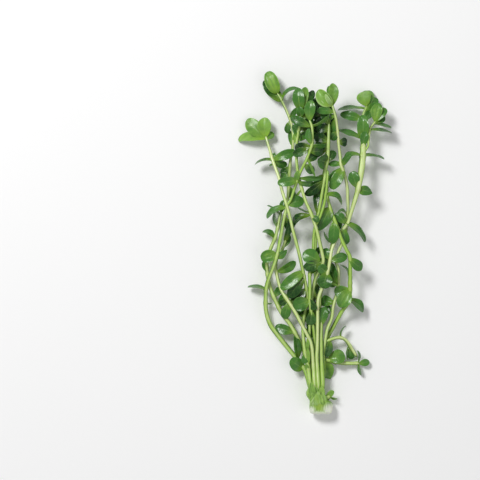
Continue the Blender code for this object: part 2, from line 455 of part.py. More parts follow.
def tube(route, sides, grow=0.0):
    """Vertices and faces of a round stem with flat ends, facing out."""
    verts = []
    faces = []
    side_way = None
    for index, (centre, radius) in enumerate(route):
        before = route[max(index - 1, 0)][0]
        after = route[min(index + 1, len(route) - 1)][0]
        along = (after - before).normalized()
        if side_way is None:
            side_way = along.cross(Vector((0, 0, 1))).normalized()
        side_way = (side_way - along * side_way.dot(along)).normalized()
        up_way = side_way.cross(along)
        for corner in range(sides):
            angle = 2 * math.pi * corner / sides
            offset = side_way * math.cos(angle) + up_way * math.sin(angle)
            verts.append(centre + offset * (radius + grow))
    for ring in range(len(route) - 1):
        for corner in range(sides):
            low = ring * sides
            high = low + sides
            following = (corner + 1) % sides
            faces.append((low + corner, high + corner, high + following, low + following))
    faces.append(tuple(range(sides)))
    faces.append(tuple(reversed(range(len(verts) - sides, len(verts)))))
    return verts, faces


def half_width(form, share):
    """The half width of a leaf at a share of its length, where 1 is its widest half width."""
    place, bluntness, _ = LEAF_FORMS[form]
    return math.sin(math.pi * share ** place) ** bluntness


def leaf_blade(foot, tip, width, roll, arch, form="round", grow=0.0, first=0.0):
    """Vertices and faces of a thin lens-shaped leaf, from the share first of its length on."""
    chord = tip - foot
    length = chord.length
    along = chord / length
    up = Vector((0, 0, 1)) - along * along.z
    up.normalize()
    side = along.cross(up)
    angle = math.radians(roll)
    normal = up * math.cos(angle) + side * math.sin(angle)
    side = side * math.cos(angle) - up * math.sin(angle)

    def on_midrib(share):
        return foot + chord * share + normal * (arch * length * 4 * share * (1 - share))

    def local_normal(share):
        slope = chord + normal * (arch * length * 4 * (1 - 2 * share))
        return side.cross(slope).normalized()

    shares = SMALL_LEAF_SHARES if width < SMALL_LEAF else LEAF_SHARES
    verts = [on_midrib(first) - along * grow]
    for share in shares:
        half = half_width(form, share)
        share = first + (1 - first) * share
        middle = on_midrib(share)
        facing = local_normal(share)
        reach = half * width / 2 + grow
        thick = LEAF_THICKNESS / 2 * min(1.0, 0.55 + half * 0.5) + grow
        lift = facing * (LEAF_FORMS[form][2] * half * width / 2)
        verts.append(middle - side * reach + lift)
        verts.append(middle + facing * thick)
        verts.append(middle + side * reach + lift)
        verts.append(middle - facing * thick)
    verts.append(tip + along * grow)
    last = len(verts) - 1
    faces = []
    for edge in range(4):
        following = (edge + 1) % 4
        faces.append((0, 1 + edge, 1 + following))
        for row in range(len(shares) - 1):
            low = 1 + row * 4
            high = low + 4
            faces.append((low + edge, high + edge, high + following, low + following))
        low = last - 4
        faces.append((last, low + following, low + edge))
    return verts, faces


def nearest_on_stem(route, x, y):
    """The point of a stem's middle line that is nearest to x, y in plan."""
    best = None
    for (first, _), (second, _) in zip(route, route[1:]):
        run = Vector((second.x - first.x, second.y - first.y))
        share = 0.0
        if run.length > 0:
            share = max(0.0, min(1.0, Vector((x - first.x, y - first.y)).dot(run) / run.length_squared))
        point = first + (second - first) * share
        distance = math.hypot(point.x - x, point.y - y)
        if best is None or distance < best[0]:
            best = (distance, point)
    return best[1]


def surface(verts, faces):
    """A search tree of a shape's surface, with the box round it."""
    tree = BVHTree.FromPolygons(verts, faces)
    low = Vector((min(v.x for v in verts), min(v.y for v in verts), min(v.z for v in verts)))
    high = Vector((max(v.x for v in verts), max(v.y for v in verts), max(v.z for v in verts)))
    return tree, low, high


def meets(one, other):
    """True where two surfaces cross."""
    for axis in range(3):
        if one[1][axis] > other[2][axis] or other[1][axis] > one[2][axis]:
            return False
    return bool(one[0].overlap(other[0]))


def settle_leaves(tables):
    """Each stem's leaves from tables of rows, each turned or raised just enough to clear the others."""
    routes = {}
    taken = []
    for name, stem in STEMS.items():
        routes[name] = smooth_route(stem["route"], RING_SPACING)
        taken.append((name, "stem", surface(*tube(routes[name], STEM_SIDES))))
    taken.append(("crown", "stem", surface(*crown_body())))
    for foot, tip, width, roll in SHEATHS:
        taken.append(("crown", "leaf", surface(*leaf_blade(Vector(foot), Vector(tip), width, roll, 0.0))))

    changes = []
    for rise in RISE_STEPS:
        for roll in ROLL_STEPS:
            changes.append((abs(rise) + ROLL_COST * abs(roll), rise, roll))
    changes.sort()

    placed = {name: [] for name in STEMS}
    for name, row in [(name, row) for table in tables for name, rows in table.items() for row in rows]:
        foot_x, foot_y, tip_x, tip_y, rise, width, roll, arch, *form = row
        foot = nearest_on_stem(routes[name], foot_x, foot_y)
        for _, more_rise, more_roll in changes:
            tip = Vector((tip_x, tip_y, foot.z + rise + more_rise))
            leaf = (foot, tip, width, roll + more_roll, arch, *form)
            if blade_is_clear(name, leaf, taken):
                break
        else:
            print("NO CLEAR PLACE", name, row)
        placed[name].append(leaf)
        taken.append((name, "leaf", outer_blade(leaf)))
        taken.append((name, "whole", surface(*leaf_blade(*leaf))))
    return routes, placed


def outer_blade(leaf, grow=0.0):
    """The part of a leaf beyond the reach of its own stem."""
    length = (leaf[1] - leaf[0]).length
    return surface(*leaf_blade(*leaf, grow=grow, first=min(0.45, OWN_STEM_REACH / length)))


def blade_is_clear(name, leaf, taken):
    """True where a leaf stays above the ground and clear of everything placed before it."""
    if min(v.z for v in leaf_blade(*leaf)[0]) < GROUND_GAP:
        return False
    whole = surface(*leaf_blade(*leaf, grow=GAP))
    outer = outer_blade(leaf, grow=GAP / 2)
    for owner, kind, shape in taken:
        if owner != name:
            if kind != "leaf" and meets(whole, shape):
                return False
            if kind == "leaf" and owner == "crown" and meets(whole, shape):
                return False
        elif kind != "whole" and meets(outer, shape):
            return False
    return True


def crown_outline(angle):
    """The place at an angle round a crown section, where 1 is its half width or half height."""
    return [math.copysign(abs(part) ** CROWN_FULLNESS, part) for part in (math.cos(angle), math.sin(angle))]


def crown_body():
    """The swollen crown, a row of full oval sections along Y."""
    verts = []
    faces = []
    for y, middle, half_width, half_height in CROWN_SECTIONS:
        for corner in range(CROWN_SIDES):
            across, up = crown_outline(2 * math.pi * corner / CROWN_SIDES)
            verts.append(Vector((middle + half_width * across, y, CROWN_MIDDLE_Z + half_height * up)))
    for ring in range(len(CROWN_SECTIONS) - 1):
        for corner in range(CROWN_SIDES):
            low = ring * CROWN_SIDES
            high = low + CROWN_SIDES
            following = (corner + 1) % CROWN_SIDES
            faces.append((low + corner, high + corner, high + following, low + following))
    faces.append(tuple(range(CROWN_SIDES)))
    faces.append(tuple(reversed(range(len(verts) - CROWN_SIDES, len(verts)))))
    return verts, faces


def plant_material(name, colour, roughness):
    material = bpy.data.materials.new(name)
    material.use_nodes = True
    shader = material.node_tree.nodes["Principled BSDF"]
    shader.inputs["Base Color"].default_value = (*colour, 1.0)
    shader.inputs["Roughness"].default_value = roughness
    shader.inputs["Metallic"].default_value = 0.0
    return material


def mesh_object(name, shapes, material=None):
    """One object from one or more closed shapes given in the tables' millimetres."""
    mesh = bpy.data.meshes.new(name)
    work = bmesh.new()
    for verts, faces in shapes:
        made = [work.verts.new((v - CENTRE) * MM) for v in verts]
        for face in faces:
            work.faces.new([made[index] for index in face])
    bmesh.ops.recalc_face_normals(work, faces=work.faces)
    bmesh.ops.triangulate(work, faces=work.faces)
    work.to_mesh(mesh)
    work.free()
    if material:
        mesh.materials.append(material)
        mesh.shade_smooth()
    body = bpy.data.objects.new(name, mesh)
    bpy.context.scene.collection.objects.link(body)
    return body


def join_to(body, shapes):
    """Fuses closed shapes to an object with a Boolean union."""
    addition = mesh_object(body.name + "_additions", shapes)
    addition.hide_render = True
    addition.display_type = "WIRE"
    union = body.modifiers.new("leaves", "BOOLEAN")
    union.operation = "UNION"
    union.solver = "EXACT"
    union.use_self = True
    union.object = addition


def build():
    for thing in list(bpy.data.objects):
        bpy.data.objects.remove(thing)

    routes, placed = settle_leaves([{name: stem["leaves"] for name, stem in STEMS.items()}])
    for name, stem in STEMS.items():
        material = plant_material(name, stem["colour"], 0.45)
        body = mesh_object(name, [tube(routes[name], STEM_SIDES)], material)
        blades = [leaf_blade(*leaf) for leaf in placed[name]]
        if blades:
            join_to(body, blades)

    crown = mesh_object("crown", [crown_body()], plant_material("crown", CROWN_COLOUR, 0.4))
    join_to(crown, [leaf_blade(Vector(foot), Vector(tip), width, roll, 0.04)
                    for foot, tip, width, roll in SHEATHS])


build()
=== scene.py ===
# Baby tears: one cut bunch lying on a pale floor, seen from above.
# The tables repeat the stems and leaves of the solid model, in millimetres in the plan of the bunch.
# Each solid stem with its leaves is replaced by a finer plant piece in the same place.

import math
import random

import bpy
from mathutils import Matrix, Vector, noise
from mathutils.bvhtree import BVHTree


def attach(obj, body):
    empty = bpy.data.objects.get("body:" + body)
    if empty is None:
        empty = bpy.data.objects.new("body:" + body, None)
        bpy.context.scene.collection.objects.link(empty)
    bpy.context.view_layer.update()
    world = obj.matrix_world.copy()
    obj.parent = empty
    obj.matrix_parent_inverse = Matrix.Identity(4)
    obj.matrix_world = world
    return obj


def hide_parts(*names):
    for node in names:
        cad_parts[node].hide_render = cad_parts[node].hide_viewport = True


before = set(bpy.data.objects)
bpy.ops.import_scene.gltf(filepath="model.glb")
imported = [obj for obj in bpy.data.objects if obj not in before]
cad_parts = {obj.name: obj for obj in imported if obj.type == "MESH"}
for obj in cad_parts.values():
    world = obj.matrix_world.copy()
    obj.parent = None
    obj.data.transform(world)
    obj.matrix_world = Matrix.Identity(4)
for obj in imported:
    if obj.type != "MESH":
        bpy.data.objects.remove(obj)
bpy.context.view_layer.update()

MM = 0.001
UP = Vector((0, 0, 1))
CENTRE = Vector((-0.05, 0.127, 0.0))   # middle of the bunch in the plan that the tables use

# The solid stems and leaves, which are laid out again here to find where each leaf came to lie.
GAP = 0.32               # clear space kept between neighbouring pieces
CURVE_STEPS = 8          # steps between two points of a route before they are spaced evenly
STEM_SIDES = 6
RING_SPACING = 10.0      # distance between the rings of a stem
FEWEST_RINGS = 4         # the number of steps along the shortest shoots
LEAF_THICKNESS = 0.75    # at the midrib in the middle of a leaf; its rim is sharp
END_THICKNESS = 0.55     # of a leaf at its very ends, as a share of that
GROUND_GAP = 0.05        # the lowest leaves lie this far above the ground
OWN_STEM_REACH = 3.0     # a leaf may touch its own stem and sister leaves this near its base
LARGEST_REACH = 0.45     # but over no more than this share of its length
LEAF_SHARES = (0.13, 0.36, 0.64, 0.90)   # places along a leaf that have a cross-section
SMALL_LEAF_SHARES = (0.16, 0.54, 0.88)
SMALL_LEAF = 5.3         # leaves narrower than this have fewer cross-sections

# The forms of the leaves. The first value moves the widest place: above 1 toward the tip, below 1
# toward the foot. The second makes the ends blunt when it is small. The third is how far the rims
# rise, as a share of the half width.
LEAF_FORMS = {
    "round": (1.30, 0.50, 0.10),
    "long": (1.05, 0.38, 0.10),
    "pointed": (0.75, 0.75, 0.10),
    "broad": (1.60, 0.42, 0.10),
    "bowl": (1.20, 0.45, 0.50),
}

# Each stem's route of (x, y, z, radius), from the crown end to the tip.
STEM_ROUTES = {
    "outer_left_stem": [
        (-2.35, -62.6, 3.1, 0.9), (-4.5, -55.5, 3, 0.95), (-8.9, -49.7, 2.6, 0.95),
        (-12.8, -44.8, 2.6, 0.95), (-17.2, -39.3, 3, 1), (-19.8, -35.3, 3.4, 1), (-21.4, -29.7, 4, 0.92),
        (-21.6, -23.8, 4.7, 0.9), (-21.3, -19.4, 5.7, 0.86), (-20.2, -15.3, 6.6, 0.82),
        (-18.8, -11.8, 7.3, 0.8), (-17.2, -7.1, 7.6, 0.78), (-16.2, -3.5, 7.6, 0.76), (-15.6, 0, 7.5, 0.75),
        (-14.6, 5.5, 7.3, 0.75), (-13.5, 11, 7, 0.7), (-12.4, 16, 6.8, 0.7), (-11.7, 22, 6.8, 0.7),
        (-11.4, 29, 7, 0.7), (-10.8, 36, 7.2, 0.65), (-9.8, 42, 7.6, 0.65), (-9.7, 48, 7.2, 0.6),
        (-10.7, 53.5, 6.2, 0.6), (-12.2, 57.3, 5.4, 0.6), (-14.3, 61.8, 4.6, 0.55), (-16.5, 65.6, 4, 0.5),
    ],
    "rear_left_stem": [
        (-1.1, -62.6, 1.55, 0.7), (-2.5, -55.5, 1.7, 0.72), (-4.2, -49.5, 2.4, 0.8),
        (-5.9, -44.8, 3.4, 0.85), (-8.4, -39.9, 4.4, 0.9), (-11.3, -35, 4.8, 0.95),
        (-14.3, -31.1, 4.8, 0.95), (-16.6, -26.7, 4.4, 0.9), (-18.9, -21.5, 3.8, 0.9),
        (-20.1, -17.5, 3.3, 0.85), (-20.9, -13, 3, 0.8), (-21, -9, 3, 0.8), (-20.3, -5.3, 3.2, 0.8),
        (-19.2, -2, 3.8, 0.8), (-17.6, 1.8, 4.8, 0.8), (-16.7, 5, 5.2, 0.75), (-15.7, 10, 5, 0.65),
        (-14.8, 14, 4.6, 0.5),
    ],
    "crossing_left_stem": [
        (-0.25, -62.7, 6.2, 0.7), (-0.5, -57, 6.4, 0.7), (-0.9, -50.5, 7, 0.72), (-1.2, -46.5, 7.7, 0.75),
        (-1.9, -42.9, 8.4, 0.78), (-3.8, -39.2, 9, 0.8), (-5.6, -36.1, 9.3, 0.82), (-8.4, -30.8, 9, 0.85),
        (-11.3, -26.2, 8.2, 0.85), (-14.3, -21.5, 6.9, 0.8), (-15.6, -18.2, 6, 0.75),
        (-16.7, -13.6, 5, 0.75), (-17.2, -9.8, 4.5, 0.7), (-16.4, -6.4, 4.2, 0.65),
        (-14.6, -3.4, 4.2, 0.65), (-13.2, 0, 4.5, 0.6), (-12.3, 4, 4.9, 0.55), (-11.8, 7.5, 5, 0.5),
    ],
    "long_left_stem": [
        (-2, -62.6, 6.2, 0.7), (-2.9, -55.5, 6.4, 0.72), (-3.9, -50, 6.8, 0.75), (-4.7, -44.8, 7, 0.75),
        (-5.2, -39.9, 6.9, 0.75), (-5.2, -35, 6.9, 0.75), (-4.4, -30, 7, 0.75), (-3.3, -24.5, 7.4, 0.75),
        (-3.9, -19.4, 8.4, 0.75), (-5.2, -13, 9.8, 0.75), (-6.7, -6, 11, 0.72), (-8.2, 0, 12, 0.72),
        (-9.8, 6, 12.5, 0.7), (-11, 11, 12.6, 0.7), (-12.6, 16.8, 12.2, 0.7), (-14.4, 22.5, 11.2, 0.7),
        (-15.8, 28.5, 9.8, 0.7), (-17, 32, 8.8, 0.7), (-18.6, 36.5, 7.4, 0.75), (-19.7, 40.5, 5.9, 0.65),
        (-21.6, 46.8, 3.6, 0.6),
    ],
    "front_shoot": [
        (-10.9, 18.4, 13.2, 0.55), (-9.8, 21.6, 13.6, 0.6), (-8.4, 26, 14.6, 0.62),
        (-6.6, 30.8, 15.8, 0.62), (-4, 36.2, 17.2, 0.6), (-1.7, 42.3, 18.2, 0.6), (-1.3, 46, 18.6, 0.58),
        (-1.6, 50.5, 18.8, 0.55), (-2.7, 53.4, 18.8, 0.5),
    ],
    "centre_left_stem": [
        (-1.1, -62.6, 4.65, 0.7), (-2.1, -54, 4.9, 0.7), (-2.5, -46, 5.4, 0.72), (-2.3, -38, 5.8, 0.72),
        (-2, -31, 6, 0.72), (-1.5, -25, 6.4, 0.72), (-0.8, -20, 7.2, 0.75), (0.3, -15.2, 8.4, 0.78),
        (2, -11.5, 9.8, 0.8), (3.5, -8, 11, 0.8), (3, -4, 12, 0.8), (2, 0, 13, 0.8), (1, 4, 13.6, 0.8),
        (0, 7.5, 14, 0.75), (-1, 10.5, 14.1, 0.75), (-2, 13.3, 14, 0.75), (-3.5, 16.5, 13.8, 0.7),
        (-4.5, 19, 13.5, 0.7), (-6.3, 25, 12.9, 0.7), (-7.3, 29, 12.6, 0.68), (-7.9, 33, 12.6, 0.65),
        (-8.3, 39, 12.8, 0.62), (-8, 44, 13.2, 0.6), (-7.2, 49, 13.6, 0.58), (-6.6, 54, 14, 0.55),
        (-6.3, 58, 14.2, 0.5),
    ],
    "centre_side_shoot": [
        (1.2, 9.7, 13.8, 0.55), (2.4, 12.4, 13.8, 0.6), (3.8, 17, 14.2, 0.62), (4.3, 20.5, 14.6, 0.62),
        (5, 26, 15.2, 0.6), (5.4, 31.5, 15.9, 0.5),
    ],
    "centre_tall_stem": [
        (0.65, -62.6, 4.65, 0.7), (0.1, -54, 4.9, 0.7), (-0.1, -48, 5.4, 0.7), (0, -44, 6, 0.7),
        (-0.6, -38, 7.2, 0.7), (-1.5, -31.4, 8.6, 0.7), (-2.4, -26.2, 9.4, 0.72), (-2.3, -20, 9.7, 0.72),
        (-2.3, -13, 9.6, 0.72), (-1.5, -8, 9.1, 0.7), (-0.8, -3, 9, 0.7), (-0.6, 2, 9.7, 0.7),
        (-0.1, 6.5, 10.6, 0.68), (1.3, 11.5, 11.5, 0.68), (2.2, 17, 12.3, 0.68), (3.4, 24, 13, 0.68),
        (4.1, 28, 13.4, 0.68), (4.7, 33, 13.8, 0.68), (5.5, 37, 14.2, 0.75), (5.7, 43, 14.8, 0.72),
        (5.9, 52, 15.3, 0.55),
    ],
    "right_middle_stem": [
        (2.4, -62.6, 4.65, 0.7), (3.5, -54, 4.8, 0.7), (3.95, -48.5, 5.2, 0.7), (4.5, -43, 5.9, 0.72),
        (5.5, -37.5, 6.8, 0.72), (7.2, -33, 7.2, 0.72), (7.9, -28, 7, 0.72), (9, -24, 6.6, 0.72),
        (10.1, -19, 6.5, 0.7), (10.3, -12, 7, 0.7), (9.3, -8.3, 7.4, 0.7), (9.8, -5, 7.8, 0.68),
        (10.8, -2.5, 8, 0.68), (12, 0.5, 7.8, 0.68), (13.2, 3.5, 7.4, 0.68), (13.8, 7, 7.2, 0.68),
        (14, 11, 8, 0.68), (14.4, 15, 8.8, 0.7), (14.3, 19, 9.6, 0.7), (14, 24, 10.4, 0.7),
        (13.3, 28, 11.2, 0.7), (12.2, 31.5, 12, 0.7), (11.2, 34.2, 12.4, 0.72), (10.8, 38, 12.6, 0.68),
        (10.3, 42, 13, 0.66), (9.9, 46, 13.4, 0.64), (9.4, 50.5, 14, 0.62), (8.7, 55, 14.6, 0.6),
        (7.3, 60, 15, 0.5),
    ],
    "right_thick_stem": [
        (1.5, -62.7, 6.2, 0.7), (1.2, -56, 6.5, 0.7), (0.85, -50, 7.2, 0.72), (1, -44.8, 7.8, 0.75),
        (1.1, -34, 8.9, 0.8), (1.3, -25, 9.9, 0.8), (3, -19.7, 10.4, 0.78), (5, -14.5, 10.8, 0.78),
        (6.4, -8, 11, 0.78), (7.2, -3, 10.4, 0.75), (8.5, 0.3, 9.8, 0.75), (10.2, 3.2, 9.4, 0.75),
        (12.6, 6.6, 9.5, 0.75), (14.3, 9, 10, 0.8), (15.3, 12, 10.6, 0.85), (16.5, 16, 11.3, 0.92),
        (17.8, 20.5, 11.8, 1.05), (19.1, 25.5, 12.2, 1.2), (20, 31, 11.6, 1.42), (20.7, 37.5, 10.4, 1.42),
        (21, 44, 8.8, 1.1), (20.7, 50, 7, 0.8), (20.6, 54.5, 5.8, 0.68), (22.9, 60.2, 4.2, 0.5),
    ],
    "right_top_shoot": [
        (23.05, 42.2, 9.8, 0.5), (23.25, 44.8, 9.7, 0.52), (24, 49.8, 8.6, 0.52), (25.2, 51.7, 8, 0.48),
        (26.6, 53.4, 7.4, 0.42),
    ],
    "outer_right_stem": [
        (3.3, -62.6, 3, 0.72), (3.9, -54, 3, 0.75), (4.1, -48.5, 3.2, 0.78), (5.2, -42.5, 3.6, 0.8),
        (8.3, -36.4, 4.6, 0.85), (11.8, -30, 6, 0.88), (14.2, -26.5, 7, 0.9), (15.2, -22.5, 8.2, 0.9),
        (15.3, -16.5, 9.6, 0.88), (15.3, -10, 10.6, 0.85), (15.1, -6, 11.2, 0.85), (13.9, -3.4, 11.7, 0.82),
        (12, 0.5, 12.1, 0.8), (10.8, 3.5, 12.3, 0.78), (9.8, 6.5, 12.4, 0.76), (8.7, 9.5, 12.3, 0.74),
        (7.5, 12.5, 12, 0.72), (6.5, 15.5, 11.6, 0.7), (5.7, 18.5, 11.1, 0.65), (5.2, 22, 10.6, 0.58),
        (5.2, 27, 10.4, 0.5),
    ],
    "rear_centre_stem": [
        (0.65, -62.6, 1.6, 0.72), (0.5, -50, 1.9, 0.72), (0.3, -40, 2.4, 0.72), (0.4, -30, 2.8, 0.72),
        (0.3, -20, 3.2, 0.7), (0.3, -10, 3.5, 0.7), (0.3, 0, 3.6, 0.7), (0.6, 8, 3.6, 0.68),
        (1.5, 15, 3.8, 0.65), (2.5, 21, 4, 0.62), (3.4, 27, 4.3, 0.6), (4.4, 34, 4.8, 0.58),
        (5, 40, 5.4, 0.56), (5, 46, 6.2, 0.54), (4, 52, 7.4, 0.5), (3, 57, 8.6, 0.45),
    ],
    "rear_right_stem": [
        (3.3, -62.6, 6.3, 0.7), (3.1, -54, 6.6, 0.7), (2.9, -48, 6.9, 0.72), (2.7, -40, 7.1, 0.74),
        (2.7, -34, 6.8, 0.74), (2.3, -29, 6.2, 0.72), (2.2, -24, 5.7, 0.7), (3.6, -17, 5.2, 0.68),
        (5.7, -10, 4.8, 0.66), (7, -3, 4.6, 0.64), (8.2, 3, 4.6, 0.6), (8.3, 8, 4.8, 0.56),
        (7.4, 12, 5.2, 0.5),
    ],
    "low_arching_shoot": [
        (6.2, -42.6, 5.6, 0.52), (8.2, -41.8, 5.6, 0.6), (10.9, -41.4, 5.2, 0.62), (13.3, -42.4, 4.4, 0.6),
        (15.1, -44.7, 3.6, 0.56), (16.5, -47, 3, 0.5), (18.5, -49.9, 2.4, 0.42),
    ],
    "low_side_shoot": [
        (5.5, -51.25, 3.6, 0.45), (9, -52.3, 3.4, 0.46), (13.4, -52.8, 2.8, 0.44), (19.6, -52.8, 2.2, 0.36),
    ],
    "crown_sprig": [
        (5.45, -67.7, 4.4, 0.6), (6, -67.5, 4.4, 0.55), (6.7, -67.3, 4.4, 0.45),
    ],
}

# Where each side shoot starts, inside the stem or crown that it grows from: x, y, z, radius.
SHOOT_ROOTS = {
    "front_shoot": (-12.3, 16.4, 12.3, 0.5),
    "centre_side_shoot": (0.1, 7.7, 13.9, 0.5),
    "right_top_shoot": (21.2, 39.6, 10, 0.5),
    "low_arching_shoot": (4.6, -43.2, 5.8, 0.42),
    "low_side_shoot": (4.1, -51, 3.2, 0.42),
    "crown_sprig": (3.4, -68, 4.2, 0.6),
}

# How pale each stem is at its foot, its middle and its tip: 0 green, 1 cream.
STEM_PALENESS = {
    "outer_left_stem": (0.3, 0.2, 0.8),
    "rear_left_stem": (0.45, 0.4, 0.45),
    "crossing_left_stem": (0.85, 0.65, 0.5),
    "long_left_stem": (0.45, 0.2, 1.1),
    "front_shoot": (0.2, -0.15, 0.5),
    "centre_left_stem": (0.25, 0.55, 0.1),
    "centre_side_shoot": (-0.1, -0.1, 0.1),
    "centre_tall_stem": (0.3, 0, 0.45),
    "right_middle_stem": (0.35, 0.75, 0.7),
    "right_thick_stem": (0.85, 0.75, 0.45),
    "right_top_shoot": (0.2, 0.3, 0.4),
    "outer_right_stem": (0, -0.1, 0.2),
    "rear_centre_stem": (0.05, 0.1, 0.2),
    "rear_right_stem": (0.2, 0.3, 0.4),
    "low_arching_shoot": (0.5, 0.6, 0.7),
    "low_side_shoot": (0.3, 0.4, 0.5),
    "crown_sprig": (0.3, 0.3, 0.3),
}

